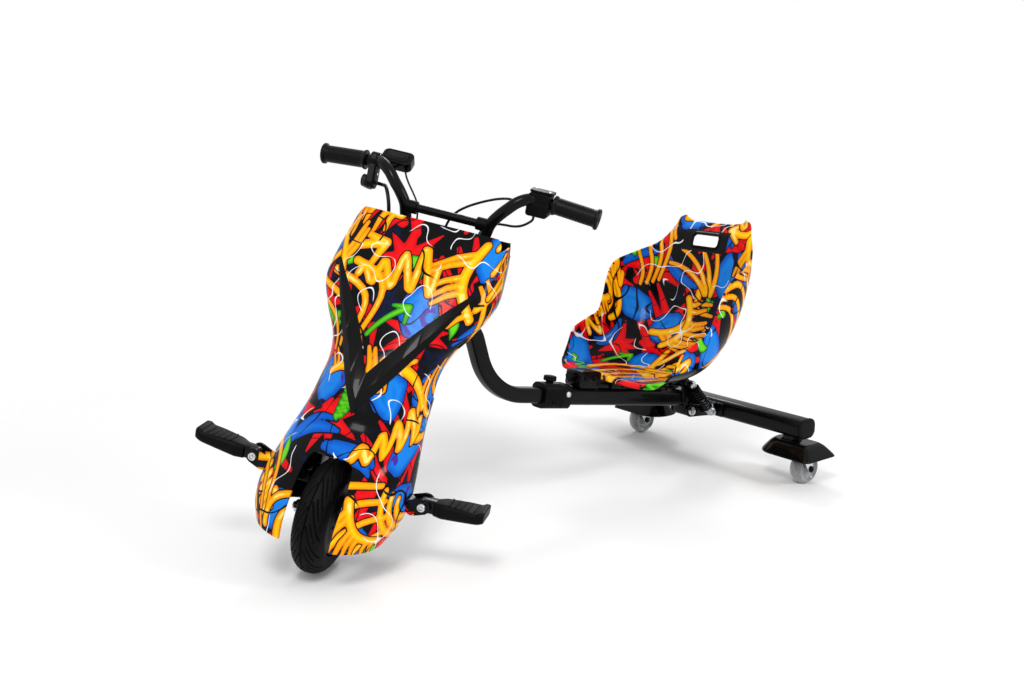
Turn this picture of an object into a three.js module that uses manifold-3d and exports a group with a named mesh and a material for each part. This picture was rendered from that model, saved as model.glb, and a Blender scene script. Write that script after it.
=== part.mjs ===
// Electric drift trike: a cowled front unit that steers on a telescoping beam, a bucket seat,
// and a sprung rear crossbar on two swivel casters.
// Millimetres, +Z up, rider faces -Y, +X is the rider's left. The bars stand turned, as parked.
import * as THREE from 'three';
import * as BufferGeometryUtils from 'three/addons/utils/BufferGeometryUtils.js';
import Module from 'manifold-3d';

const wasm = await Module();
wasm.setup();

// Shared clearances
const gap = 0.3; // between pieces that seat on each other
const overrun = 4; // how far a cutting tool runs past what it cuts
const cableRoom = 1.2; // round a cable where it enters the cowl
const sleeveRadius = 3.6;
const leadRadius = 2.4;
const thinLeadRadius = 1.8;

// Front wheel and steering
const wheelRadius = 100;
const tyreWidth = 56;
const rimRadius = 64;
const axleRadius = 6;
const rakeAngle = 19.3; // degrees from vertical
const axisFoot = 18; // where the steering axis meets the ground, behind the hub
const parkedSteer = 39; // degrees

// Steering head, measured along the steering axis from the ground
const crownHeight = 222;
const headLow = 250;
const headHigh = 350;
const steererTop = 385;
const steererRadius = 14;
const headRadius = 21;

// Handlebar
const barRadius = 11;
const barHeight = 608;
const barBack = 440;
const barHalfWidth = 276;
const gripRadius = 16.5;

// Cowl
const barAboveCowl = 36;
const cowlHigh = barHeight - barAboveCowl;
const cowlLow = 92;
const cowlHalfWidth = 157;
const cowlReach = 540; // from the toe of the legs to the back of the top
const cowlMiddle = 162;
const cowlWall = 3.5;
const archRadius = 128;
const archHalfWidth = 62;

// Beam
const innerSize = 30;
const tubeWall = 2.6;
const tubeCorner = 7;
const beamSlope = 9.5; // degrees
const runY = 519; // a point on the centre line of the beam's long run
const runZ = 219;
const outerFront = 29; // along the run from that point
const outerBack = 424;
const innerBack = 250;
const legLean = 16; // degrees from vertical
const legFootY = 376;
const bendRadius = 118;
const neckTopZ = 408;
const neckBendRadius = 46;

// Rear crossbar
const crossbarY = 1015;
const crossbarZ = 118;
const crossbarDepth = 50;
const crossbarHeight = 40;
const crossbarHalf = 242;
const crossbarWall = 2.5;
const pivotY = 906;
const pivotZ = 127;
const shockTopY = 889;
const shockTopZ = 191;
const shockFootY = 955;
const shockFootZ = 121;
const shockX = 37;

// Casters
const casterX = 239.5;
const casterTrail = 12; // wheel centre behind the swivel
const casterRadius = 33;
const casterWidth = 28;
const neckShare = 0.37; // of the crossbar's depth
const neckX = 209; // the spacer between the crossbar and the caster's cover
const coverOuterX = 286;
const coverInnerX = 146;
const coverHalfDepth = 50;
const coverLow = 60;
const coverHigh = 88;

// Seat
const seatHalfWidth = 170;
const seatAhead = 234; // front lip ahead of the shocks' top bolt
const seatFront = shockTopY - seatAhead;
const seatDeep = 338; // front lip to the top of the backrest
const seatLow = 214;
const seatTall = 322;
const seatWall = 4;
const slotHalfWidth = 38;
const slotHeight = 28;
const slotShare = 0.854; // of the seat's height

// Foot pegs
const pegBoltX = 154.5;
const pegY = 34;
const pegZ = 157;
const pegOut = 262;

// Finishes
const finish = (color, roughness, metalness) => new THREE.MeshStandardMaterial({ color, roughness, metalness });
const printed = () => finish(0xd98f1c, 0.25, 0);
const glossBlack = () => finish(0x0b0b0c, 0.2, 0);
const paintedBlack = () => finish(0x101011, 0.35, 0.3);
const mattBlack = () => finish(0x161617, 0.6, 0);
const rubber = () => finish(0x0e0e0f, 0.85, 0);
const steel = () => finish(0xb9bcc0, 0.3, 1);
const aluminium = () => finish(0x9fa3a8, 0.4, 1);
const wheelGrey = () => finish(0x8e9396, 0.3, 0);

// Helpers: vectors, solids, and pieces
const at = (x, y, z) => new THREE.Vector3(x, y, z);
const flat = (x, y) => new THREE.Vector2(x, y);
const degrees = THREE.MathUtils.degToRad;
const mirrored = (point) => at(-point.x, point.y, point.z);
const xAxis = at(1, 0, 0);
const yAxis = at(0, 1, 0);
const zAxis = at(0, 0, 1);

function cleaned(geometry) {
  let bare = geometry.clone();
  bare.deleteAttribute('normal');
  bare.deleteAttribute('uv');
  bare = BufferGeometryUtils.mergeVertices(bare);
  const index = bare.index.array;
  const kept = [];
  let volume = 0;
  const [a, b, c] = [at(0, 0, 0), at(0, 0, 0), at(0, 0, 0)];
  for (let i = 0; i < index.length; i += 3) {
    const [p, q, r] = [index[i], index[i + 1], index[i + 2]];
    if (p === q || q === r || r === p) continue;
    kept.push(p, q, r);
    a.fromBufferAttribute(bare.attributes.position, p);
    b.fromBufferAttribute(bare.attributes.position, q);
    c.fromBufferAttribute(bare.attributes.position, r);
    volume += a.dot(b.cross(c));
  }
  bare.setIndex(volume < 0 ? kept.reverse() : kept);
  return bare;
}

function solid(shape) {
  if (!shape.isBufferGeometry) return shape;
  const bare = cleaned(shape);
  const vertProperties = new Float32Array(bare.attributes.position.array);
  const triVerts = Uint32Array.from(bare.index.array);
  return new wasm.Manifold(new wasm.Mesh({ numProp: 3, vertProperties, triVerts }));
}

const join = (...shapes) => shapes.map(solid).reduce((whole, shape) => whole.add(shape));
const cut = (shape, ...tools) => tools.map(solid).reduce((whole, tool) => whole.subtract(tool), solid(shape));

function surface(shape) {
  if (shape.isBufferGeometry) return cleaned(shape);
  const mesh = shape.getMesh();
  const geometry = new THREE.BufferGeometry();
  geometry.setAttribute('position', new THREE.Float32BufferAttribute(mesh.vertProperties, mesh.numProp));
  geometry.setIndex(Array.from(mesh.triVerts));
  return geometry;
}

function piece(parent, name, shape, material) {
  const mesh = new THREE.Mesh(surface(shape), material);
  mesh.name = name;
  parent.add(mesh);
  return mesh;
}

function roundedRect(width, height, radius) {
  const shape = new THREE.Shape();
  const [x, y] = [width / 2 - radius, height / 2 - radius];
  shape.absarc(x, y, radius, 0, Math.PI / 2);
  shape.absarc(-x, y, radius, Math.PI / 2, Math.PI);
  shape.absarc(-x, -y, radius, Math.PI, Math.PI * 1.5);
  shape.absarc(x, -y, radius, Math.PI * 1.5, Math.PI * 2);
  return shape;
}

// A band round two circles, as on a link, a lug or a lever
function strap(from, to, fromRadius, toRadius) {
  const along = to.clone().sub(from);
  const lean = Math.acos((fromRadius - toRadius) / along.length());
  const heading = along.angle();
  const shape = new THREE.Shape();
  shape.absarc(from.x, from.y, fromRadius, heading + lean, heading - lean + Math.PI * 2);
  shape.absarc(to.x, to.y, toRadius, heading - lean, heading + lean);
  return shape;
}

// Prisms: a shape swept along X, Y or Z, centred on the middle of its sweep
function prism(shape, depth, curveSegments = 2) {
  const geometry = new THREE.ExtrudeGeometry(shape, { depth, bevelEnabled: false, curveSegments });
  return geometry.translate(0, 0, -depth / 2);
}
const prismX = (shape, depth, curveSegments) =>
  prism(shape, depth, curveSegments).applyMatrix4(new THREE.Matrix4().makeBasis(yAxis, zAxis, xAxis));
const prismY = (shape, depth, curveSegments) =>
  prism(shape, depth, curveSegments).applyMatrix4(new THREE.Matrix4().makeBasis(xAxis, zAxis, yAxis.clone().negate()));

const block = (width, depth, height) => new THREE.BoxGeometry(width, depth, height);

function rod(from, to, radius, sides = 16, endRadius = radius) {
  const along = to.clone().sub(from);
  const geometry = new THREE.CylinderGeometry(endRadius, radius, along.length(), sides);
  geometry.applyQuaternion(new THREE.Quaternion().setFromUnitVectors(yAxis, along.clone().normalize()));
  return geometry.translate(...from.clone().add(to).divideScalar(2).toArray());
}

function bentTube(points, radius, sides, steps) {
  const path = new THREE.CatmullRomCurve3(points, false, 'centripetal');
  const section = new THREE.Shape();
  section.absarc(0, 0, radius, 0, Math.PI * 2);
  return new THREE.ExtrudeGeometry(section, { steps, curveSegments: sides / 2, extrudePath: path });
}

// A profile of [radius, place] pairs turned about an axis through a point
function turned(profile, axis, centre, segments = 32) {
  const points = profile.map(([radius, place]) => flat(radius, place));
  const geometry = new THREE.LatheGeometry(points, segments);
  geometry.applyQuaternion(new THREE.Quaternion().setFromUnitVectors(yAxis, axis));
  return geometry.translate(centre.x, centre.y, centre.z);
}

// Closed rings of points joined one to the next, with both ends capped
function loft(rings) {
  const positions = [];
  const index = [];
  const count = rings[0].length;
  const middle = (ring) => ring.reduce((sum, point) => sum.add(point), at(0, 0, 0)).divideScalar(count);
  rings.forEach((ring) => ring.forEach((point) => positions.push(point.x, point.y, point.z)));
  for (let i = 0; i + 1 < rings.length; i += 1) {
    for (let j = 0; j < count; j += 1) {
      const [a, b] = [i * count + j, i * count + ((j + 1) % count)];
      index.push(a, b, b + count, a, b + count, a + count);
    }
  }
  [0, rings.length - 1].forEach((row) => {
    const centre = middle(rings[row].map((point) => point.clone()));
    positions.push(centre.x, centre.y, centre.z);
    const hub = positions.length / 3 - 1;
    for (let j = 0; j < count; j += 1) {
      const [a, b] = [row * count + j, row * count + ((j + 1) % count)];
      index.push(...(row === 0 ? [b, a, hub] : [a, b, hub]));
    }
  });
  const geometry = new THREE.BufferGeometry();
  geometry.setAttribute('position', new THREE.Float32BufferAttribute(positions, 3));
  geometry.setIndex(index);
  return geometry;
}

// Values between the rows of a table, on a smooth curve; each row starts with its place
function smoothTable(rows, place) {
  let i = 0;
  while (i + 2 < rows.length && rows[i + 1][0] < place) i += 1;
  const [before, from] = [rows[Math.max(i - 1, 0)], rows[i]];
  const [to, after] = [rows[i + 1], rows[Math.min(i + 2, rows.length - 1)]];
  const t = (place - from[0]) / (to[0] - from[0]);
  return from.map((start, column) => {
    const slopeFrom = (to[column] - before[column]) / (to[0] - before[0]);
    const slopeTo = (after[column] - start) / (after[0] - from[0]);
    const span = to[0] - from[0];
    const [t2, t3] = [t * t, t * t * t];
    const rise = (2 * t3 - 3 * t2 + 1) * start + (3 * t2 - 2 * t3) * to[column];
    return rise + span * ((t3 - 2 * t2 + t) * slopeFrom + (t3 - t2) * slopeTo);
  });
}

// The steering axis
const rake = degrees(rakeAngle);
const axis = at(0, Math.sin(rake), Math.cos(rake));
const axisRoot = at(0, axisFoot, 0);
const onAxis = (height) => axisRoot.clone().addScaledVector(axis, height);
const steerTurn = new THREE.Quaternion().setFromAxisAngle(axis, degrees(parkedSteer));

// The hub stands where the turned tyre just meets the ground
const crownRadius = tyreWidth / 2;
const turnedAxle = xAxis.clone().applyQuaternion(steerTurn);
const tyreDrop = (wheelRadius - crownRadius) * Math.sqrt(1 - turnedAxle.z ** 2) + crownRadius;
const hubFromRoot = at(0, -axisFoot, 0).applyQuaternion(steerTurn);
const hubZ = (tyreDrop - hubFromRoot.z) / zAxis.clone().applyQuaternion(steerTurn).z;
const hub = at(0, 0, hubZ);

const trike = new THREE.Group();
const front = new THREE.Group();
front.quaternion.copy(steerTurn);
front.position.copy(axisRoot).sub(axisRoot.clone().applyQuaternion(steerTurn));
trike.add(front);
const run = new THREE.Group();
run.position.set(0, runY, runZ);
run.rotation.x = -degrees(beamSlope);
trike.add(run);

// Front wheel: a hub motor in an air tyre, on a fixed axle
const forkPlate = 8;
const forkInside = 40;
const forkOutside = forkInside + forkPlate;
const coverHalf = 24;
const bossHalf = forkInside - gap;
const bossRadius = 15;
const hubBore = axleRadius + gap;
const wheelSegments = 26;
const coverStepRadius = 44;
const coverStep = 5;
const rimHalf = 21;
const rimLip = 3;
const rimProfile = [
  [hubBore, -bossHalf],
  [bossRadius, -bossHalf],
  [bossRadius + rimLip, -coverHalf - coverStep],
  [coverStepRadius, -coverHalf],
  [rimRadius - rimLip, -rimHalf],
  [rimRadius, -rimHalf + rimLip],
  [rimRadius, rimHalf - rimLip],
  [rimRadius - rimLip, rimHalf],
  [coverStepRadius, coverHalf],
  [bossRadius + rimLip, coverHalf + coverStep],
  [bossRadius, bossHalf],
  [hubBore, bossHalf],
  [hubBore, -bossHalf],
];
piece(front, 'hub_motor', turned(rimProfile, xAxis, hub, wheelSegments), aluminium());

const grooveHalf = 1.6;
const grooveDepth = 2.5;
const sideGrooveX = 13;
const beadAngle = 104; // degrees round the tyre's section from its crown
const tyreSteps = 10;
const crownCentre = wheelRadius - crownRadius;
const tyrePoint = (x, depth) => [crownCentre + Math.sqrt(crownRadius ** 2 - x ** 2) - depth, x];
const tyreProfile = [[rimRadius + gap, -rimHalf + rimLip]];
for (let i = 0; i <= tyreSteps; i += 1) {
  const angle = degrees(-beadAngle + (2 * beadAngle * i) / tyreSteps);
  const x = crownRadius * Math.sin(angle);
  const near = [-sideGrooveX, 0, sideGrooveX].find((groove) => Math.abs(x - groove) < grooveHalf);
  if (near === undefined) {
    tyreProfile.push([crownCentre + crownRadius * Math.cos(angle), x]);
  } else {
    tyreProfile.push(tyrePoint(near - grooveHalf, 0), tyrePoint(near - grooveHalf / 2, grooveDepth));
    tyreProfile.push(tyrePoint(near + grooveHalf / 2, grooveDepth), tyrePoint(near + grooveHalf, 0));
  }
}
tyreProfile.push([rimRadius + gap, rimHalf - rimLip], [rimRadius + gap, -rimHalf + rimLip]);
piece(front, 'front_tyre', turned(tyreProfile, xAxis, hub, wheelSegments), rubber());

const nutRadius = 11;
const nutLength = 9;
const axleEnd = forkOutside + gap + nutLength + overrun;
const axleSide = (side) => [
  rod(hub.clone().setX(side * (forkOutside + gap)), hub.clone().setX(side * (axleEnd - overrun)), nutRadius, 6),
];
const wheelAxle = join(
  rod(hub.clone().setX(-axleEnd), hub.clone().setX(axleEnd), axleRadius, 12),
  ...axleSide(-1),
  ...axleSide(1),
);
piece(front, 'wheel_axle', wheelAxle, steel());

// Fork: two plates, a crown and the steerer, welded
const forkFootRadius = 15;
const forkTopRadius = 20;
const crownDepth = 44;
const crownThick = 14;
const crownCentrePoint = onAxis(crownHeight);
const hubFlat = flat(hub.y, hub.z);
const crownFlat = flat(crownCentrePoint.y, crownCentrePoint.z);
const forkSide = strap(hubFlat, crownFlat, forkFootRadius, forkTopRadius);
const forkCrown = block(forkOutside * 2, crownDepth, crownThick).rotateX(-rake);
const forkParts = [-1, 1].map((side) =>
  prismX(forkSide, forkPlate, 4).translate(side * (forkInside + forkPlate / 2), 0, 0),
);
const axleHole = rod(hub.clone().setX(-axleEnd), hub.clone().setX(axleEnd), axleRadius + gap, 12);
const fork = cut(
  join(
    ...forkParts,
    forkCrown.translate(...crownCentrePoint.toArray()),
    rod(crownCentrePoint, onAxis(steererTop), steererRadius, 14),
  ),
  axleHole,
);
piece(front, 'fork', fork, paintedBlack());

// Steering column: a clamp on the steerer and a leaning tube up to the bar clamp
const bearingThick = 7;
const clampRadius = 18;
const clampLow = headHigh + bearingThick + gap * 2;
const onBar = ([x, y, z]) => at(x * barHalfWidth, y * barBack, z * barHeight);
const rootShares = [0, 0.891, 0.819];
const barRoot = onBar(rootShares);
const columnHigh = 34;
const columnWide = 40;
const columnFrom = onAxis((clampLow + steererTop) / 2);
const columnSpan = barRoot.clone().sub(columnFrom);
const columnTube = prismY(roundedRect(columnWide, columnHigh, tubeCorner), columnSpan.length(), 3)
  .rotateX(Math.atan2(columnSpan.z, columnSpan.y))
  .translate(...columnFrom.clone().addScaledVector(columnSpan, 1 / 2).toArray());
const barClampRadius = 19;
const barClampHalf = 24;
const column = cut(
  join(
    columnTube,
    rod(onAxis(clampLow), onAxis(steererTop + overrun), clampRadius, 14),
    rod(barRoot.clone().setX(-barClampHalf), barRoot.clone().setX(barClampHalf), barClampRadius, 14),
  ),
  rod(onAxis(clampLow - overrun), onAxis(steererTop + gap), steererRadius + gap, 14),
  rod(barRoot.clone().setX(-barClampHalf - overrun), barRoot.clone().setX(barClampHalf + overrun), barRadius + 2 * gap, 14),
);
piece(front, 'steering_column', column, paintedBlack());

// Cowl: sections by height, as shares of the cowl's height, reach and half width
// [height, front, widest, back, half width, squareness of the front, squareness of the back]
const cowlShares = [
  [0, 0.005, 0.18, 0.31, 0.7, 2.3, 2.2],
  [0.05, 0.013, 0.215, 0.35, 0.78, 2.3, 2.2],
  [0.11, 0.036, 0.262, 0.4, 0.815, 2.3, 2.2],
  [0.175, 0.076, 0.315, 0.455, 0.78, 2.2, 2.2],
  [0.255, 0.137, 0.376, 0.52, 0.72, 2.1, 2.2],
  [0.325, 0.245, 0.43, 0.575, 0.675, 2, 2.2],
  [0.395, 0.292, 0.487, 0.62, 0.655, 1.95, 2.2],
  [0.48, 0.341, 0.54, 0.67, 0.635, 1.95, 2.2],
  [0.555, 0.4, 0.585, 0.755, 0.7, 2.1, 2.3],
  [0.635, 0.468, 0.625, 0.835, 0.86, 2.5, 2.5],
  [0.72, 0.533, 0.675, 0.905, 0.985, 3, 2.8],
  [0.805, 0.594, 0.73, 0.96, 0.975, 3.1, 3],
  [0.89, 0.668, 0.785, 0.99, 0.935, 3.1, 3.1],
  [1, 0.775, 0.84, 1, 0.865, 3, 3.2],
];
const cowlHeight = cowlHigh - cowlLow;
const cowlRows = 13;
const cowlAround = 22;

function cowlSection(z, inset) {
  const share = smoothTable(cowlShares, (z - cowlLow) / cowlHeight);
  const [toe, widest, back] = share.slice(1, 4).map((value) => cowlMiddle + (value - 1 / 2) * cowlReach);
  const halfWidth = share[4] * cowlHalfWidth - inset;
  return { front: toe + inset, widest, back: back - inset, halfWidth, frontPower: share[5], backPower: share[6] };
}

function cowlRing(z, inset) {
  const section = cowlSection(z, inset);
  const ring = [];
  for (let j = 0; j < cowlAround; j += 1) {
    const angle = (2 * Math.PI * j) / cowlAround;
    const [c, s] = [Math.cos(angle), Math.sin(angle)];
    const power = 2 / (s < 0 ? section.frontPower : section.backPower);
    const depth = s < 0 ? section.widest - section.front : section.back - section.widest;
    const x = Math.sign(c) * section.halfWidth * Math.abs(c) ** power;
    ring.push(at(x, section.widest + Math.sign(s) * depth * Math.abs(s) ** power, z));
  }
  return ring;
}

function cowlSolid(inset) {
  const rings = [];
  for (let i = 0; i <= cowlRows; i += 1) rings.push(cowlRing(cowlLow + (cowlHeight * i) / cowlRows, inset));
  return loft(rings);
}

// Cutting blocks: everything above, below or behind a plane that leans about X
const cutSize = cowlReach * 3;
const slab = (point, lean, side) =>
  block(cutSize, cutSize, cutSize).translate(0, 0, (side * cutSize) / 2).rotateX(lean).translate(...point.toArray());
const topFrontShare = 0.75926; // of the cowl's reach
const topFrontDrop = 12;
const topFrontY = cowlMiddle + (topFrontShare - 1 / 2) * cowlReach;
const topFrontZ = cowlHigh - topFrontDrop;
const topFall = 15; // degrees that the cowl's top falls towards the rider
const topLean = -degrees(topFall);
const topEdge = at(0, topFrontY, topFrontZ);
const splitShare = 0.21852; // of the cowl's reach
const splitFootY = cowlMiddle + (splitShare - 1 / 2) * cowlReach;
const splitAngle = 37.3; // degrees from vertical of the joint between front and rear covers
const splitLean = Math.PI / 2 - degrees(splitAngle);
const splitFoot = at(0, splitFootY, cowlLow);

const archTool = (radius, halfWidth) =>
  join(
    prismX(new THREE.Shape().absarc(hub.y, hub.z, radius, 0, Math.PI * 2), halfWidth * 2, 20),
    block(halfWidth * 2, radius * 2, cutSize).translate(0, 0, hub.z - cutSize / 2),
    block(halfWidth * 2, cutSize, radius * 2).translate(0, -cutSize / 2, hub.z - radius / 2),
  );
const cowlOuter = cut(cowlSolid(0), slab(topEdge, topLean, 1));
const cowlInner = cut(
  join(cowlSolid(cowlWall), cowlFloor()),
  slab(topEdge.clone().add(at(0, 0, -cowlWall)), topLean, 1),
);

function cowlFloor() {
  return loft([cowlRing(cowlLow, cowlWall).map((point) => point.setZ(cowlLow - overrun)), cowlRing(cowlLow, cowlWall)]);
}

// The arch: a tall rounded mouth over the tyre, open to the front and below
const archTopHalf = 24;
const archHeight = 226;
const archShoulder = 204;
const archFootHalf = 71;
const archShape = new THREE.Shape();
archShape.moveTo(-archFootHalf, cowlLow - overrun);
archShape.lineTo(archFootHalf, cowlLow - overrun);
archShape.bezierCurveTo(archHalfWidth, archShoulder, archHalfWidth, archHeight, archTopHalf, archHeight);
archShape.lineTo(-archTopHalf, archHeight);
archShape.bezierCurveTo(-archHalfWidth, archHeight, -archHalfWidth, archShoulder, -archFootHalf, cowlLow - overrun);
const archFront = prismY(archShape, archRadius * 2, 8).translate(0, -archRadius, 0);

const uprightShares = [[0.2717, 0.909, 0.852], [0.3116, 0.909, 0.921]];
const [uprightLow, uprightHigh] = uprightShares.map(onBar);
const uprightRoom = 2.5;
const uprightRods = [uprightLow, mirrored(uprightLow)].map((low, i) =>
  rod(low, i === 0 ? uprightHigh : mirrored(uprightHigh), barRadius + uprightRoom, 12),
);
// Openings in the flanks for the foot peg arms
const pegArmY = pegY;
const pegArmZ = 150;
const pegArmHigh = 22;
const pegArmDeep = 30;
const pegArmRoom = 2;
const pegArmWindow = block(cutSize, pegArmDeep + 2 * pegArmRoom, pegArmHigh + 2 * pegArmRoom);
const cowlShell = cut(
  cowlOuter,
  cowlInner,
  archFront,
  ...uprightRods,
  ...cableHoles(),
  pegArmWindow.translate(0, pegArmY, pegArmZ),
);
piece(front, 'cowl_front', cut(cowlShell, slab(splitFoot, splitLean, -1)), printed());

// Rear covers: above and below the opening that the beam's neck swings in
const upperCoverLow = 500; // along the steering axis
const lowerCoverHigh = 322;
const rearShell = cut(cowlShell, slab(splitFoot.clone().add(at(0, 2 * gap, 0)), splitLean, 1));
const rearUpper = cut(rearShell, slab(onAxis(upperCoverLow), -rake, -1));
const rearLower = cut(rearShell, slab(onAxis(lowerCoverHigh), -rake, 1), archTool(archRadius, forkOutside));
piece(front, 'cowl_rear_upper', rearUpper, glossBlack());
piece(front, 'cowl_rear_lower', rearLower, glossBlack());

// Trim: a creased V standing proud of the cowl's face
const trimRows = 7;
const trimLow = 272;
const trimNotch = 333;
const trimTipX = 129;
const trimTipLow = 470;
const trimTipHigh = 477;
const trimProud = 9;
const trimEdge = 1.6;
const trimSunk = 5;
const ridgeShare = 0.42;

function cowlFace(x, z, proud) {
  const section = cowlSection(z, -proud);
  const depth = section.widest - section.front;
  const across = Math.min(Math.abs(x) / section.halfWidth, 1) ** section.frontPower;
  return at(x, section.widest - depth * (1 - across) ** (1 / section.frontPower), z);
}

const trimRings = [];
for (let i = -trimRows; i <= trimRows; i += 1) {
  const t = Math.abs(i) / trimRows;
  const x = (trimTipX * i) / trimRows;
  const low = trimLow + (trimTipLow - trimLow) * t;
  const high = trimNotch + (trimTipHigh - trimNotch) * t;
  const ridge = low + (high - low) * ridgeShare;
  const proud = trimProud - (trimProud - 2 * trimEdge) * t;
  trimRings.push([
    cowlFace(x, low, -trimSunk),
    cowlFace(x, low, trimEdge),
    cowlFace(x, ridge, proud),
    cowlFace(x, high, trimEdge),
    cowlFace(x, high, -trimSunk),
  ]);
}
piece(front, 'cowl_trim', cut(loft(trimRings), cowlSolid(-gap)), glossBlack());

// Handlebar: one bent tube from grip to grip by way of the clamp, with a brace
// Its places as shares of the bar's half width, reach and height, from the clamp out to the grip
const barShares = [
  [0.138, 0.891, 0.819],
  [0.21, 0.895, 0.8257],
  [0.2717, 0.909, 0.852],
  [0.2917, 0.909, 0.8865],
  [0.3116, 0.909, 0.921],
  [0.355, 0.909, 0.9515],
  [0.4094, 0.9114, 0.98],
  [0.4601, 0.9227, 1.0033],
  [0.518, 0.943, 1.018],
  [0.5725, 0.9727, 1.0214],
  [0.6232, 0.993, 1.0148],
  [0.6812, 1, 1.0115],
  [0.7195, 1, 1.01],
  [1, 1, 1],
];
const barHalf = barShares.map(onBar);
const [gripFrom, gripTo] = [barHalf[11], barHalf[13]];
const barPoints = [...barHalf.map(mirrored).reverse(), barRoot, ...barHalf];
const barSides = 8;
const barSteps = 40;
const braceRadius = 8;
const braceShare = 0.9145; // of the bar's height
const braceZ = braceShare * barHeight;
const braceCollarRadius = 12.5;
const braceCollar = 14;
const braceX = uprightLow.x + ((uprightHigh.x - uprightLow.x) * (braceZ - uprightLow.z)) / (uprightHigh.z - uprightLow.z);
const braceEnd = at(braceX, uprightLow.y, braceZ);
const collarEnd = braceEnd.clone().setX(braceX - barRadius - braceCollar);
const bar = join(
  bentTube(barPoints, barRadius, barSides, barSteps),
  rod(mirrored(braceEnd), braceEnd, braceRadius, 12),
  rod(collarEnd, braceEnd, braceCollarRadius, 12),
  rod(mirrored(collarEnd), mirrored(braceEnd), braceCollarRadius, 12),
);
piece(front, 'handlebar', bar, paintedBlack());
const barRoom = bentTube(barPoints, barRadius + gap * 2, barSides, barSteps);

const gripFlange = 20;
const gripFlangeLength = 6;
const gripCollar = 19;
const gripOver = 2; // how far the closed end of the grip covers the tube
for (const [name, flip] of [['grip_left', (p) => p.clone()], ['grip_right', mirrored]]) {
  const [inner, outer] = [flip(gripFrom), flip(gripTo)];
  const along = outer.clone().sub(inner).normalize();
  const end = outer.clone().addScaledVector(along, gripOver + gap);
  const grip = join(
    rod(inner, end, gripRadius, 12),
    rod(end.clone().addScaledVector(along, -gripFlangeLength), end, gripFlange, 12),
    rod(inner, inner.clone().addScaledVector(along, gripFlangeLength), gripCollar, 14, gripRadius),
  );
  piece(front, name, cut(grip, rod(inner.clone().addScaledVector(along, -overrun), outer.clone().addScaledVector(along, gap), barRadius + 2 * gap, barSides * 2)), rubber());
}

// Throttle side: a clamp with a barrel, the thumb lever on it, and the display
const clampShares = [-0.6123, 0.9886, 1.0164];
const barAtClamp = onBar(clampShares);
const throttleX = barAtClamp.x;
const throttleHalf = 8;
const clampWeb = 13;
const clampBandRadius = 17;
const barrelBack = 4; // ahead of the bar's centre line
const barrelDrop = 41;
const barrelY = barAtClamp.y - barrelBack;
const barrelZ = barAtClamp.z - barrelDrop;
const barrelRadius = 12.5;
const clampBody = cut(
  join(
    rod(barAtClamp.clone().setX(throttleX - throttleHalf), barAtClamp.clone().setX(throttleX + throttleHalf), clampBandRadius, 12),
    prismX(strap(flat(barAtClamp.y, barAtClamp.z), flat(barrelY, barrelZ), clampWeb, barrelRadius), throttleHalf * 2, 4)
      .translate(throttleX, 0, 0),
  ),
  barRoom,
);
piece(front, 'throttle_clamp', clampBody, mattBlack());

const leverX = throttleX - throttleHalf - gap;
const leverThick = 11;
const leverReach = 30;
const leverTip = 8;
const leverDrop = -14;
const leverShape = strap(flat(barrelY, barrelZ), flat(barrelY + leverReach, barrelZ + leverDrop), barrelRadius, leverTip);
piece(front, 'throttle_lever', prismX(leverShape, leverThick, 6).translate(leverX - leverThick / 2, 0, 0), finish(0x3a3b3d, 0.5, 0));

const displayWide = 62;
const displayDeep = 36;
const displayThick = 22;
const displayTilt = 32; // degrees towards the rider
const displayShares = [-0.4638, 1.009, 1.0313];
const displayAt = onBar(displayShares);
const display = cut(
  prism(roundedRect(displayWide, displayDeep, displayThick / 2), displayThick, 3)
    .rotateX(degrees(displayTilt))
    .translate(...displayAt.toArray()),
  barRoom,
);
piece(front, 'display_housing', display, glossBlack());

// Switch side: a block round the bar with its buttons on the rider's face
const switchShares = [0.594, 0.9818, 1.0066];
const switchAt = onBar(switchShares);
const switchWide = 42;
const switchDeep = 38;
const switchHigh = 44;
const switchCorner = 6;
const lidWide = 46;
const lidDeep = 30;
const lidHigh = 5;
const buttonRadius = 6;
const buttonTravel = 1.5;
const buttonProud = 2.5;
const buttonDrop = 13;
const buttonSpread = 10;
const buttonRoom = 2;
const buttonWell = buttonTravel + buttonRoom;
const switchBack = switchAt.y + switchDeep / 2;
const buttonPlaces = [-1, 1].map((side) => at(switchAt.x + side * buttonSpread, switchBack, switchAt.z - buttonDrop));
const switchBlock = cut(
  join(
    prismY(roundedRect(switchWide, switchHigh, switchCorner), switchDeep, 2).translate(...switchAt.toArray()),
    prism(roundedRect(lidWide, lidDeep, switchCorner), lidHigh, 2).translate(
      switchAt.x + (lidWide - switchWide) / 2,
      switchAt.y,
      switchAt.z + switchHigh / 2 + lidHigh / 2 - gap,
    ),
  ),
  barRoom,
  ...buttonPlaces.map((place) =>
    rod(place.clone().add(at(0, -buttonWell, 0)), place.clone().add(at(0, overrun, 0)), buttonRadius + gap, 12),
  ),
);
piece(front, 'switch_block', switchBlock, mattBlack());
['horn_button', 'speed_button'].forEach((name, i) => {
  const from = buttonPlaces[i].clone().add(at(0, -buttonWell + buttonTravel + gap, 0));
  piece(front, name, rod(from, buttonPlaces[i].clone().add(at(0, buttonProud, 0)), buttonRadius, 12), finish(0x2a2b2d, 0.5, 0));
});

// Cables, each whole from its housing into the top of the cowl, in shares of the bar's half width and reach;
// heights are shares of the rise from the cowl to the bar above the cowl, and of the cowl's height inside it
function cablePlace([x, y, z]) {
  return at(x * barHalfWidth, y * barBack, cowlHigh + z * (z > 0 ? barHeight - cowlHigh : cowlHeight));
}

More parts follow.
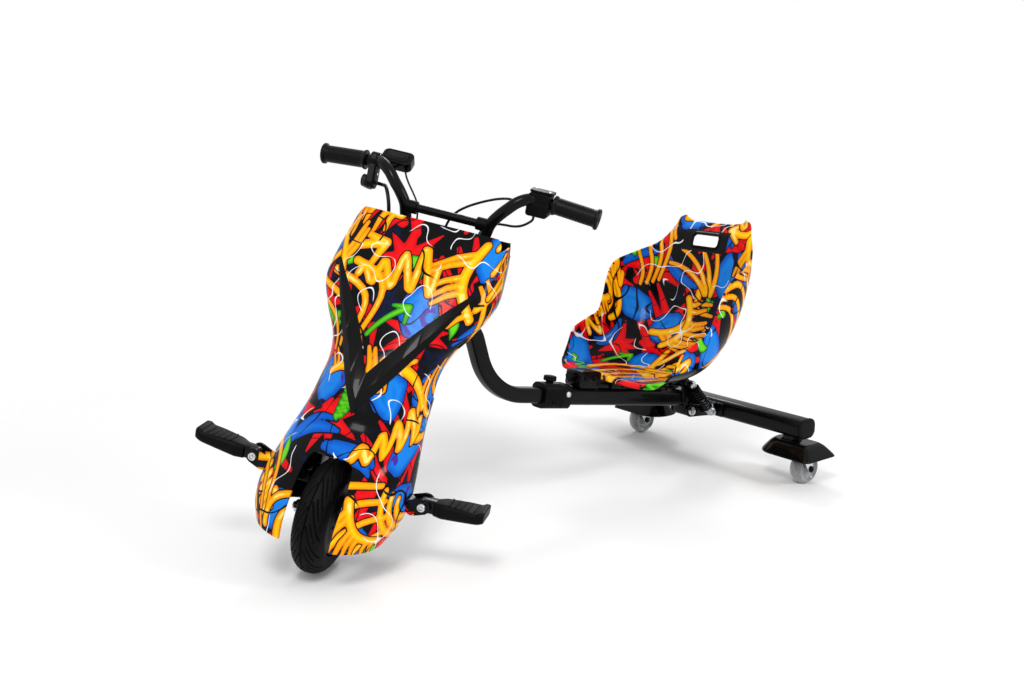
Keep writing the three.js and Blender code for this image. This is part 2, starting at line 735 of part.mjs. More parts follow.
function cableRoutes() {
  const routes = {
    throttle_cable: {
      radius: sleeveRadius,
      points: [
        [-0.5808, 0.9795, 0.1389], [-0.5543, 0.9795, 0.1389], [-0.5181, 0.9636, 0.1667], [-0.4783, 0.9273, 0.25], [-0.442, 0.8886, 0.1667],
        [-0.413, 0.8659, -0.0083], [-0.3949, 0.8591, -0.0396], [-0.3877, 0.8591, -0.0667], [-0.3841, 0.8591, -0.0917],
      ],
    },
    display_cable: {
      radius: thinLeadRadius,
      points: [
        [-0.3913, 1.0023, 1.0278], [-0.3768, 0.9977, 0.8056], [-0.3478, 0.9909, 0.5], [-0.3043, 0.9795, 0.1389], [-0.2609, 0.9659, -0.0187],
        [-0.2355, 0.9523, -0.05], [-0.2246, 0.9432, -0.075], [-0.221, 0.9386, -0.1],
      ],
    },
    switch_cable: {
      radius: leadRadius,
      points: [
        [0.5725, 0.9659, 0.4889], [0.5725, 0.9659, 0.2778], [0.5435, 0.9659, 0.0278], [0.5, 0.9636, -0.0146], [0.4493, 0.9614, -0.0229],
        [0.3913, 0.9591, -0.025], [0.3333, 0.9568, -0.0292], [0.2826, 0.9523, -0.0417], [0.2464, 0.9455, -0.0625], [0.2283, 0.9386, -0.0917],
      ],
    },
    sensor_cable: {
      radius: leadRadius,
      points: [
        [0.5167, 0.9682, 1], [0.4928, 0.9682, 1], [0.4493, 0.9614, 1.0278], [0.3913, 0.95, 1.0833], [0.3261, 0.9477, 0.9722],
        [0.2536, 0.9477, 0.75], [0.1812, 0.9477, 0.4722], [0.1087, 0.9477, 0.1389], [0.0435, 0.9477, -0.0208], [0.0072, 0.9455, -0.0542],
        [-0.0072, 0.9409, -0.0792], [-0.0109, 0.9386, -0.1021],
      ],
    },
  };
  return Object.fromEntries(
    Object.entries(routes).map(([name, { radius, points }]) => [name, { radius, points: points.map(cablePlace) }]),
  );
}

function cableHoles() {
  return Object.values(cableRoutes()).map(({ radius, points }) => {
    const [end, before] = [points[points.length - 1], points[points.length - 2]];
    const along = before.clone().sub(end).normalize();
    return rod(end.clone().addScaledVector(along, -overrun * 2), before.clone().addScaledVector(along, overrun * 2), radius + cableRoom, 8);
  });
}

const cableSides = 8;
const cableStepShare = 3.4; // diameters to a step
for (const [name, { radius, points }] of Object.entries(cableRoutes())) {
  const length = new THREE.CatmullRomCurve3(points, false, 'centripetal').getLength();
  piece(front, name, bentTube(points, radius, cableSides, Math.round(length / (radius * 2 * cableStepShare)) + 6), rubber());
}

// Battery and controller inside the cowl
const batteryWide = 190;
const batteryLong = 72;
const batteryThick = 36;
const batteryShares = [0.75, 0.93]; // heights on the cowl's face that the battery lies along
const [faceLow, faceHigh] = batteryShares.map((share) => {
  const z = cowlLow + share * cowlHeight;
  return flat(cowlSection(z, cowlWall).front, z);
});
const faceSlope = faceHigh.clone().sub(faceLow);
const faceMiddle = faceLow.clone().add(faceHigh).divideScalar(2);
const batteryRoom = 3.6; // from that chord to the battery, past the face's hollow
const inward = faceSlope.clone().normalize().multiplyScalar(batteryThick / 2 + batteryRoom);
const batteryY = faceMiddle.x + inward.y;
const batteryZ = faceMiddle.y - inward.x;
const battery = prism(roundedRect(batteryWide, batteryLong, tubeCorner), batteryThick, 3).rotateX(faceSlope.angle());
piece(front, 'battery', battery.translate(0, batteryY, batteryZ), finish(0x2b4a86, 0.5, 0));
const controllerWide = 70;
const controllerDeep = 50;
const controllerHigh = 26;
const controllerX = 78;
const controllerBehind = 16.4;
const controllerBelow = 48.7;
const controllerY = batteryY + controllerBehind;
const controllerZ = batteryZ - controllerBelow;
const controller = block(controllerWide, controllerDeep, controllerHigh);
piece(front, 'motor_controller', controller.translate(controllerX, controllerY, controllerZ), aluminium());

// Foot pegs: an arm from the fork, a printed clevis, a pin, and a folding peg
const pinRadius = 4;
const pinHead = 7.5;
const pinHeadThick = 5;
const clevisHalf = 10.3; // half the room between the clevis plates
const clevisPlate = 5;
const clevisRadius = 14;
const clevisFoot = 138;
const pegRootRadius = 11;
const pegRise = 1.2;
// [distance out as a share of the peg, half depth, top, underside]
const pegShares = [
  [0.18, 0.58, 0.38, -0.42],
  [0.32, 0.8, 0.5, -0.4],
  [0.66, 0.94, 0.6, -0.16],
  [0.88, 1, 0.62, 0],
  [0.93, 1, 0.78, 0.03],
  [1, 0.9, 0.8, 0.14],
];
const pegHalfDepth = 25;
const pegTall = 30;
const pegLong = pegOut - pegBoltX;

function pegRing(share, side) {
  const [out, depth, top, under] = share;
  const x = side * (pegBoltX + out * pegLong);
  const [halfDepth, high, low] = [depth * pegHalfDepth, pegZ + top * pegTall, pegZ + under * pegTall];
  const outline = roundedRect(halfDepth * 2, high - low, (high - low) / 3).getPoints(1);
  const ring = outline.slice(0, -1).map((point) => at(x, pegY + point.x, point.y + (high + low) / 2));
  return side > 0 ? ring : ring.reverse();
}

const pegPlate = (side, radius, foot) => {
  const shape = strap(flat(side * foot, pegArmZ), flat(side * pegBoltX, pegZ), radius, radius);
  return shape;
};
for (const [side, word] of [[1, 'left'], [-1, 'right']]) {
  const bolt = at(side * pegBoltX, pegY, pegZ);
  const pinEnd = clevisHalf + clevisPlate + gap;
  const bore = rod(bolt.clone().setY(pegY - cutSize / 4), bolt.clone().setY(pegY + cutSize / 4), pinRadius + gap, 12);
  const armFrom = forkOutside + gap;
  const armLong = clevisFoot - armFrom;
  const plates = [-1, 1].map((face) =>
    prismY(pegPlate(side, clevisRadius, clevisFoot), clevisPlate, 4).translate(0, pegY + face * (clevisHalf + clevisPlate / 2), 0),
  );
  const arm = block(armLong, pegArmDeep, pegArmHigh).translate(side * (armFrom + armLong / 2), pegY, pegArmZ);
  piece(front, `peg_bracket_${word}`, cut(join(arm, ...plates), bore), printed());
  const root = prismY(
    strap(flat(bolt.x, bolt.z), flat(side * (pegBoltX + pegShares[1][0] * pegLong), pegZ + pegRise), pegRootRadius, pegRootRadius),
    (clevisHalf - gap) * 2,
    4,
  ).translate(0, pegY, 0);
  piece(front, `foot_peg_${word}`, cut(join(root, loft(pegShares.map((share) => pegRing(share, side)))), bore), mattBlack());
  const pin = join(
    rod(bolt.clone().setY(pegY - pinEnd), bolt.clone().setY(pegY + pinEnd + pinHeadThick), pinRadius, 12),
    rod(bolt.clone().setY(pegY - pinEnd - pinHeadThick), bolt.clone().setY(pegY - pinEnd), pinHead, 12),
    rod(bolt.clone().setY(pegY + pinEnd), bolt.clone().setY(pegY + pinEnd + pinHeadThick), pinHead, 6),
  );
  piece(front, `peg_pin_${word}`, pin, steel());
}

// Head bearings and the front beam with its head tube
const headWall = 3;
const bearingSeat = headRadius - headWall;
for (const [name, low] of [['head_bearing_low', headLow - gap - bearingThick], ['head_bearing_high', headHigh + gap]]) {
  const profile = [
    [steererRadius + 2 * gap, 0], [headRadius, 0], [headRadius, bearingThick],
    [steererRadius + 2 * gap, bearingThick], [steererRadius + 2 * gap, 0],
  ];
  piece(trike, name, turned(profile, axis, onAxis(low), 14), steel());
}
piece(
  trike,
  'head_tube',
  turned(
    [[bearingSeat, headLow], [headRadius, headLow], [headRadius, headHigh], [bearingSeat, headHigh], [bearingSeat, headLow]],
    axis,
    axisRoot,
    16,
  ),
  paintedBlack(),
);

const slope = degrees(beamSlope);
const runDirection = flat(Math.cos(slope), -Math.sin(slope));
const legDirection = flat(-Math.sin(degrees(legLean)), Math.cos(degrees(legLean)));
const legFoot = flat(legFootY, runZ - (legFootY - runY) * Math.tan(slope));
const neckCorner = legFoot.clone().addScaledVector(legDirection, (neckTopZ - legFoot.y) / legDirection.y);
const neckRoot = onAxis((headLow + headHigh) / 2);
const beamCorners = [
  { point: flat(neckRoot.y, neckRoot.z) },
  { point: neckCorner, radius: neckBendRadius },
  { point: legFoot, radius: bendRadius },
  { point: flat(runY, runZ).addScaledVector(runDirection, innerBack) },
];
const bendSteps = 6;

// Rings of a tube that runs straight between corners and bends round them, in the middle plane
function bentBeam(corners, outline) {
  const rings = [];
  const ringAt = (point, heading) => {
    const upright = flat(-heading.y, heading.x);
    rings.push(outline.map((p) => at(p.x, point.x + upright.x * p.y, point.y + upright.y * p.y)));
  };
  corners.forEach(({ point, radius }, i) => {
    const into = i > 0 && point.clone().sub(corners[i - 1].point).normalize();
    const out = i + 1 < corners.length && corners[i + 1].point.clone().sub(point).normalize();
    if (!into || !out) {
      ringAt(point, into || out);
      return;
    }
    const turn = Math.atan2(into.cross(out), into.dot(out));
    const start = point.clone().addScaledVector(into, -radius * Math.tan(Math.abs(turn) / 2));
    const centre = start.clone().add(flat(-into.y, into.x).multiplyScalar(radius * Math.sign(turn)));
    for (let step = 0; step <= bendSteps; step += 1) {
      const angle = (turn * step) / bendSteps;
      ringAt(start.clone().rotateAround(centre, angle), into.clone().rotateAround(flat(0, 0), angle));
    }
  });
  return loft(rings);
}
const innerOutline = roundedRect(innerSize, innerSize, tubeCorner).getPoints(1).slice(0, -1);
const headHole = rod(onAxis(headLow - overrun), onAxis(headHigh + overrun), headRadius + 2 * gap, 14);
piece(trike, 'front_beam', cut(bentBeam(beamCorners, innerOutline), headHole), paintedBlack());

// Outer tube, its collar, the clamp knob and the length plunger
const outerBore = innerSize + 2 * gap;
const outerSize = outerBore + 2 * tubeWall;
const outerLong = outerBack - outerFront;
const ringShape = (size, bore, corner) => {
  const shape = new THREE.Shape(roundedRect(size, size, corner).getPoints(2));
  shape.holes.push(new THREE.Path(roundedRect(bore, bore, corner - (size - bore) / 2).getPoints(2)));
  return shape;
};
const outerTube = prismY(ringShape(outerSize, outerBore, tubeCorner + tubeWall), outerLong).translate(0, outerFront + outerLong / 2, 0);
piece(run, 'outer_tube', outerTube, paintedBlack());
const outerRoom = prismY(roundedRect(outerSize + 2 * gap, outerSize + 2 * gap, tubeCorner + tubeWall), outerLong + 2 * gap, 3)
  .translate(0, outerFront + outerLong / 2, 0);

const collarFront = -22;
const collarStep = 22;
const collarBack = 44;
const collarSize = 45;
const collarHigh = 50;
const collarCorner = 14;
const flangeSize = 48;
const flangeCorner = 10.5;
const knobY = 2;
const knobStemRadius = 5;
const knobRadius = 13;
const knobHigh = 11;
const knobStem = 5;
const collarTop = collarHigh / 2;
const stemHole = rod(at(0, knobY, innerSize / 2), at(0, knobY, collarTop + overrun), knobStemRadius + gap, 12);
const pinY = 34;
const plungerHigh = 6;
const plungerRadius = 4.5;
const plungerHead = 6;
const plungerProud = 3;
const plungerHole = rod(at(outerSize / 2, pinY, plungerHigh), at(flangeSize, pinY, plungerHigh), plungerRadius + gap, 12);
const collar = cut(
  join(
    prismY(roundedRect(collarSize, collarHigh, collarCorner), collarStep - collarFront, 3).translate(0, (collarFront + collarStep) / 2, 0),
    prismY(roundedRect(flangeSize, flangeSize, flangeCorner), collarBack - collarStep, 2).translate(0, (collarStep + collarBack) / 2, 0),
  ),
  prismY(roundedRect(outerBore, outerBore, tubeCorner), cutSize, 3),
  outerRoom,
  stemHole,
  plungerHole,
);
piece(run, 'beam_collar', collar, mattBlack());
const knobFlutes = 10;
const fluteDepth = 1.6;
const knobShape = new THREE.Shape();
for (let i = 0; i < knobFlutes * 4; i += 1) {
  const angle = (Math.PI * 2 * i) / (knobFlutes * 4);
  const radius = knobRadius - fluteDepth * (i % 4 === 0 ? 1 : 0);
  if (i === 0) knobShape.moveTo(radius, 0);
  else knobShape.lineTo(radius * Math.cos(angle), radius * Math.sin(angle));
}
const knobLow = collarTop + knobStem;
const clampKnob = join(
  prism(knobShape, knobHigh).translate(0, knobY, knobLow + knobHigh / 2),
  rod(at(0, knobY, innerSize / 2 + gap), at(0, knobY, knobLow + overrun), knobStemRadius, 12),
);
piece(run, 'clamp_knob', clampKnob, mattBlack());
const plungerFace = flangeSize / 2 + gap;
const plunger = join(
  rod(at(outerSize / 2 + gap, pinY, plungerHigh), at(plungerFace + plungerProud, pinY, plungerHigh), plungerRadius, 12),
  rod(at(plungerFace, pinY, plungerHigh), at(plungerFace + plungerProud, pinY, plungerHigh), plungerHead, 12),
);
piece(run, 'length_plunger', plunger, steel());

// Seat carrier: a rail on the tube with a front post and a rear pad
const railWide = 30;
const railHigh = 8;
const railLow = outerSize / 2 + gap;
const railPast = 20; // behind the rear pad
const postBehind = 18; // behind the collar
const postFront = collarBack + postBehind;
const postLong = 56;
const postHigh = 34;
const postWide = 44;
const post = prismX(roundedRect(postLong, postHigh, tubeCorner), postWide, 3)
  .translate(0, postFront + postLong / 2, railLow + postHigh / 2);
const seatKnobY = postFront - gap;
const seatKnobShare = 0.62; // of the post's height
const seatKnobZ = railLow + postHigh * seatKnobShare;
const seatKnobRadius = 11;
const seatKnobLong = 12;

// Seat: rows from the front lip to the top of the backrest, as shares of the seat's reach and height
// [row, centre y, centre z, edge half width, edge y, edge z, squareness of the curve across]
const seatShares = [
  [0, 0.02, 0.05, 0.8, 0.1, 0.07, 3],
  [1, 0.06, 0.065, 0.9, 0.15, 0.14, 3],
  [2, 0.18, 0.045, 0.95, 0.215, 0.265, 2.8],
  [3, 0.36, 0.03, 0.95, 0.345, 0.33, 2.6],
  [4, 0.53, 0.055, 0.945, 0.43, 0.37, 2.4],
  [5, 0.68, 0.13, 0.96, 0.48, 0.48, 2.2],
  [6, 0.78, 0.25, 0.985, 0.525, 0.6, 2.2],
  [7, 0.84, 0.415, 1, 0.6, 0.69, 2.2],
  [8, 0.86, 0.61, 0.93, 0.75, 0.745, 2.3],
  [9, 0.88, 0.765, 0.77, 0.885, 0.81, 2.5],
  [10, 0.91, 0.885, 0.62, 0.955, 0.92, 2.8],
  [11, 0.99, 0.965, 0.53, 0.985, 1, 3],
];
const wrapPower = 1.4;
const flarePower = 0.6;
const slopeStep = 0.02; // in rows and in shares across, for the shell's slope
const seatRows = 15;
const seatAcross = 10;

function seatPoint(row, across) {
  const [, centreY, centreZ, half, edgeY, edgeZ, power] = smoothTable(seatShares, row);
  const angle = (Math.abs(across) * Math.PI) / 2;
  const wrap = (1 - Math.cos(angle) ** (2 / power)) ** wrapPower;
  const y = centreY + (edgeY - centreY) * wrap;
  const z = centreZ + (edgeZ - centreZ) * wrap;
  const x = Math.sign(across) * half * Math.sin(angle) ** (2 / power) ** flarePower;
  return at(x * seatHalfWidth, seatFront + y * seatDeep, seatLow + z * seatTall);
}

function seatShell() {
  const rings = [];
  for (let i = 0; i <= seatRows; i += 1) {
    const row = ((seatShares.length - 1) * i) / seatRows;
    const face = [];
    const back = [];
    for (let j = 0; j <= seatAcross; j += 1) {
      const across = -1 + (2 * j) / seatAcross;
      const point = seatPoint(row, across);
      const sideways = seatPoint(row, Math.min(across + slopeStep, 1)).sub(seatPoint(row, Math.max(across - slopeStep, -1)));
      const [low, high] = [Math.max(row - slopeStep, 0), Math.min(row + slopeStep, seatShares.length - 1)];
      const upward = seatPoint(high, across).sub(seatPoint(low, across));
      const out = sideways.cross(upward).normalize();
      face.push(point.clone().addScaledVector(out, seatWall / 2));
      back.push(point.clone().addScaledVector(out, -seatWall / 2));
    }
    rings.push([...face, ...back.reverse()]);
  }
  return loft(rings);
}
const slotTool = prismY(roundedRect(slotHalfWidth * 2, slotHeight, slotHeight / 3), seatDeep, 4)
  .translate(0, seatFront + seatDeep, seatLow + slotShare * seatTall);
const seat = cut(seatShell(), slotTool);
piece(trike, 'seat_shell', seat, printed());

// Two pads on the carrier reach up to the seat and stop a clearance short of it
run.updateMatrixWorld(true);
const toRun = run.matrixWorld.clone().invert();
const padRows = [[1, 2], [3, 4]];
const padSteps = 4;
const padPlace = (row) => {
  const place = seatPoint(row, 0).applyMatrix4(toRun);
  return flat(place.y, place.z);
};
const pads = padRows.map(([first, last]) => {
  const line = [];
  for (let i = 0; i <= padSteps; i += 1) line.push(padPlace(first + ((last - first) * i) / padSteps));
  const feet = [flat(line[padSteps].x, railLow), flat(line[0].x, railLow)];
  return prismX(new THREE.Shape([...line, ...feet]), postWide);
});
const railFront = postFront + postLong / 2;
const railBack = padPlace(padRows[1][1]).x + railPast;
const rail = block(railWide, railBack - railFront, railHigh)
  .translate(0, (railFront + railBack) / 2, railLow + railHigh / 2);
const seatAbove = surface(seat).applyMatrix4(toRun).translate(0, 0, -gap);
piece(run, 'seat_carrier', cut(join(post, rail, ...pads), seatAbove), paintedBlack());
piece(
  run,
  'seat_knob',
  rod(at(0, seatKnobY - seatKnobLong, seatKnobZ), at(0, seatKnobY, seatKnobZ), seatKnobRadius, 12),
  mattBlack(),
);

// Shock bracket: a saddle that hugs the tube, with the lug that the rear axle swings on
const lugRadius = 12;
const boltRadius = 5;
const boltHead = 9;
const boltHeadThick = 6;
const lugTop = 24;
const lugStep = 14.5; // above the swing bolt, where the lug widens to the saddle
const through = cutSize / 4;
const crossRod = (point, half, radius, sides = 14) =>
  rod(point.clone().setX(-half), point.clone().setX(half), radius, sides);
const pivot = at(0, pivotY, pivotZ);
const saddlePlate = 4;
const saddleInside = outerSize / 2 + gap;
const saddleOutside = saddleInside + saddlePlate;
const saddleTopRadius = 12;
const saddleFootRadius = 15;
const saddleTubeRadius = 10;
const shockTop = at(0, shockTopY, shockTopZ);
const shockFoot = at(0, shockFootY, shockFootZ);
const shockBoltRadius = 4;
const saddleFoot = flat(shockTopY + saddleFootRadius / 2, pivotZ + 2 * saddleFootRadius);
const saddleSide = (side) =>
  prismX(strap(flat(shockTopY, shockTopZ), saddleFoot, saddleTopRadius, saddleFootRadius), saddlePlate, 3)
    .translate(side * (saddleInside + saddlePlate / 2), 0, 0);
const tubeRoom = outerRoom.clone().applyMatrix4(run.matrixWorld);
const shockBracket = cut(
  join(
    crossRod(pivot, outerSize / 2, lugRadius),
    block(outerSize, 2 * lugRadius, lugTop).translate(0, pivotY, pivotZ + lugTop / 2),
    block(2 * saddleOutside, 2 * lugRadius, lugTop - lugStep).translate(0, pivotY, pivotZ + (lugTop + lugStep) / 2),
    saddleSide(-1),
    saddleSide(1),
    crossRod(shockTop, saddleInside + gap, saddleTubeRadius),
  ),
  tubeRoom,
  crossRod(pivot, through, boltRadius + gap),
  crossRod(shockTop, through, shockBoltRadius + gap),
);
piece(trike, 'shock_bracket', shockBracket, paintedBlack());

const hexBolt = (point, half, radius, headRadius, headThick) =>
  join(
    crossRod(point, half + headThick, radius),
    ...[-1, 1].map((side) =>
      rod(point.clone().setX(side * half), point.clone().setX(side * (half + headThick)), headRadius, 6)),
  );

// Crossbar with the yoke that swings on the lug, and the spacers over the casters
const yokePlate = 5;
const yokeRoom = 1.2;
const yokeInside = saddleInside + yokeRoom;
const yokeOutside = yokeInside + yokePlate;
const yokePivotRadius = 13;
const yokeShockRadius = 12;
const yokeRootHigh = 30;
const yokeRootWide = 84;
const crossbarCorner = 15;
const weld = 1; // how far welded pieces run into each other
const crossbarFront = crossbarY - crossbarDepth / 2;
const crossbarUnder = crossbarZ - crossbarHeight / 2;
const yokeSide = (side) => {
  const arm = strap(flat(pivotY, pivotZ), flat(shockFootY, shockFootZ), yokePivotRadius, yokeShockRadius);
  const root = new THREE.Shape([
    flat(shockFootY, shockFootZ - yokeShockRadius),
    flat(crossbarFront + weld, crossbarZ - yokeRootHigh / 2),
    flat(crossbarFront + weld, crossbarZ + yokeRootHigh / 2),
    flat(shockFootY, shockFootZ + yokeShockRadius),
  ]);
  return join(prismX(arm, yokePlate, 3), prismX(root, yokePlate)).translate(side * (yokeInside + yokePlate / 2), 0, 0);
};
const crossbarSection = (depth, height, corner, bore) => {
  const shape = new THREE.Shape(roundedRect(depth, height, corner).getPoints(2));
  shape.holes.push(new THREE.Path(bore.getPoints(2)));
  return shape;
};
const crossbarBore = (room) =>
  roundedRect(
    crossbarDepth - 2 * (crossbarWall + room),
    crossbarHeight - 2 * (crossbarWall + room),
    crossbarCorner - crossbarWall - room,
  );
const neckRadius = crossbarDepth * neckShare;
const necks = [-1, 1].map((side) =>
  rod(at(side * neckX, crossbarY, coverHigh + gap), at(side * neckX, crossbarY, crossbarUnder + weld), neckRadius, 14),
);
const crossbar = cut(
  join(
    prismX(crossbarSection(crossbarDepth, crossbarHeight, crossbarCorner, crossbarBore(0)), crossbarHalf * 2)
      .translate(0, crossbarY, crossbarZ),
    yokeSide(-1),
    yokeSide(1),
    block(yokeRootWide, yokePlate, yokeRootHigh).translate(0, crossbarFront + weld - yokePlate / 2, crossbarZ),
    ...necks,
  ),
  crossRod(pivot, through, boltRadius + gap),
  crossRod(shockFoot, through, shockBoltRadius + gap),
);
piece(trike, 'crossbar', crossbar, paintedBlack());
piece(trike, 'swing_bolt', hexBolt(pivot, yokeOutside + gap, boltRadius, boltHead, boltHeadThick), steel());

// End caps: a plug in the tube's bore under a proud flange
const capProud = 1;
const capThick = 6;
const plugLong = 22;
for (const [side, word] of [[1, 'left'], [-1, 'right']]) {
  const flange = prismX(
    roundedRect(crossbarDepth + 2 * capProud, crossbarHeight + 2 * capProud, crossbarCorner + capProud),
    capThick,
    2,
  );
  const plug = prismX(crossbarBore(gap), plugLong + capThick, 2);
  const cap = join(
    flange.translate(side * (crossbarHalf + gap + capThick / 2), crossbarY, crossbarZ),
    plug.translate(side * (crossbarHalf + gap + (capThick - plugLong) / 2), crossbarY, crossbarZ),
  );
  piece(trike, `crossbar_cap_${word}`, cap, mattBlack());
}

// Shocks: a damper on the top bolt, a rod on the foot bolt and a coil spring between their seats
const eyeHalf = 5;
const eyeRadius = 9;
const eyeRoom = 0.45; // round the foot bolt, where the rod's path is only nearly a circle
const shockNut = 7.5;
const shockNutThick = 5;
const shockOut = shockX + eyeHalf + gap;
const seatFromEye = 13;
const seatThick = 3;
const springSeatRadius = 12.2;
const damperRadius = 6.8;
const damperLong = 50;
const damperBoreFrom = 24;
const rodRadius = 4;
const rodFrom = 36;
const springWire = 2;
const springRadius = 10;
const springTurns = 8.5;
const endPitch = 4.6;
const turnSteps = 8;
const wireSides = 5;
const shockSpan = shockFoot.clone().sub(shockTop);
const shockLong = shockSpan.length();
const springFrom = seatFromEye + seatThick + gap + springWire;
const springTo = shockLong - springFrom;
const midPitch = (springTo - springFrom - 2 * endPitch) / (springTurns - 2);

function springPath() {
  const path = [];
  for (let i = 0; i <= springTurns * turnSteps; i += 1) {
    const turn = i / turnSteps;
    const place = Math.min(turn, 1) * endPitch + Math.max(0, Math.min(turn, springTurns - 1) - 1) * midPitch
      + Math.max(0, turn - springTurns + 1) * endPitch;
    const angle = turn * Math.PI * 2;
    path.push(at(springRadius * Math.cos(angle), springFrom + place, springRadius * Math.sin(angle)));
  }
  return path;
}

function springCoil(path) {
  const rings = path.map((point, i) => {
    const ahead = path[Math.min(i + 1, path.length - 1)].clone().sub(path[Math.max(i - 1, 0)]).normalize();
    const outward = at(point.x, 0, point.z).normalize();
    outward.addScaledVector(ahead, -outward.dot(ahead)).normalize();
    const along = ahead.clone().cross(outward);
    return Array.from({ length: wireSides }, (_, j) => {
      const angle = (2 * Math.PI * j) / wireSides;
      return point.clone()
        .addScaledVector(outward, springWire * Math.cos(angle))
        .addScaledVector(along, springWire * Math.sin(angle));
    });
  });
  return loft(rings);
}

const coilPath = springPath();
let leastGap = Infinity;
coilPath.forEach((point, i) => coilPath.slice(i + turnSteps / 2).forEach((other) => {
  leastGap = Math.min(leastGap, point.distanceTo(other) - 2 * springWire);
}));
console.log(`spring: least gap between turns ${leastGap.toFixed(2)} mm`);

const eye = (place) => rod(at(-eyeHalf, place, 0), at(eyeHalf, place, 0), eyeRadius, 12);
const eyeHole = (place, radius) => rod(at(-shockX, place, 0), at(shockX, place, 0), radius, 12);
const spindle = (from, to, radius, sides) => rod(at(0, from, 0), at(0, to, 0), radius, sides);
for (const [side, word] of [[1, 'left'], [-1, 'right']]) {
  const shock = new THREE.Group();
  shock.position.copy(shockTop).setX(side * shockX);
  shock.rotation.x = Math.atan2(shockSpan.z, shockSpan.y);
  trike.add(shock);
  const damper = cut(
    join(
      eye(0),
      spindle(eyeRadius - weld, damperLong, damperRadius, 12),
      spindle(seatFromEye, seatFromEye + seatThick, springSeatRadius, 14),
    ),
    eyeHole(0, shockBoltRadius + gap),
    spindle(damperBoreFrom, damperLong + overrun, rodRadius + gap, 12),
  );
  piece(shock, `shock_body_${word}`, damper, mattBlack());
  const seatAt = shockLong - seatFromEye - seatThick;
  const shockRod = cut(
    join(
      eye(shockLong),
      spindle(rodFrom, shockLong - eyeRadius + weld, rodRadius, 12),
      spindle(seatAt, seatAt + seatThick, springSeatRadius, 14),
    ),
    eyeHole(shockLong, shockBoltRadius + eyeRoom),
  );
  piece(shock, `shock_rod_${word}`, shockRod, steel());
  piece(shock, `shock_spring_${word}`, springCoil(coilPath), glossBlack());
}
piece(trike, 'shock_top_bolt', hexBolt(shockTop, shockOut, shockBoltRadius, shockNut, shockNutThick), steel());
piece(trike, 'shock_foot_bolt', hexBolt(shockFoot, shockOut, shockBoltRadius, shockNut, shockNutThick), steel());

// Casters: a moulded cover under each end of the crossbar, a swivel fork and its wheel
const coverWall = 3;
const coverOuterCorner = 12;
const coverInnerCorner = 46;
// [height and inset as shares of the cover's height]
const coverShares = [
  [0, 0],
  [0.1, 0.02],
  [0.55, 0.39],
  [0.82, 0.65],
  [1, 0.92],
];
const coverTall = coverHigh - coverLow;
const coverBack = 3.11; // the cover's middle and the wheel stand a little behind the crossbar
const wheelBack = 6.22;
const coverMiddle = crossbarY + coverBack;
const kingpinY = crossbarY + wheelBack - casterTrail;

function coverRing(z, inset) {
  const half = coverHalfDepth - inset;
  const share = half / coverHalfDepth;
  const [outer, inner] = [coverOuterCorner * share, coverInnerCorner * share];
  const shape = new THREE.Shape();
  shape.absarc(coverOuterX - inset - outer, half - outer, outer, 0, Math.PI / 2);
  shape.absarc(coverInnerX + inset + inner, half - inner, inner, Math.PI / 2, Math.PI);
  shape.absarc(coverInnerX + inset + inner, inner - half, inner, Math.PI, Math.PI * 1.5);
  shape.absarc(coverOuterX - inset - outer, outer - half, outer, Math.PI * 1.5, Math.PI * 2);
  return shape.getPoints(2).slice(0, -1).map((point) => at(point.x, coverMiddle + point.y, z));
}
const coverRings = (inset, drop) =>
  coverShares.map(([high, inward]) => coverRing(coverLow - drop + high * coverTall, inset + inward * coverTall));

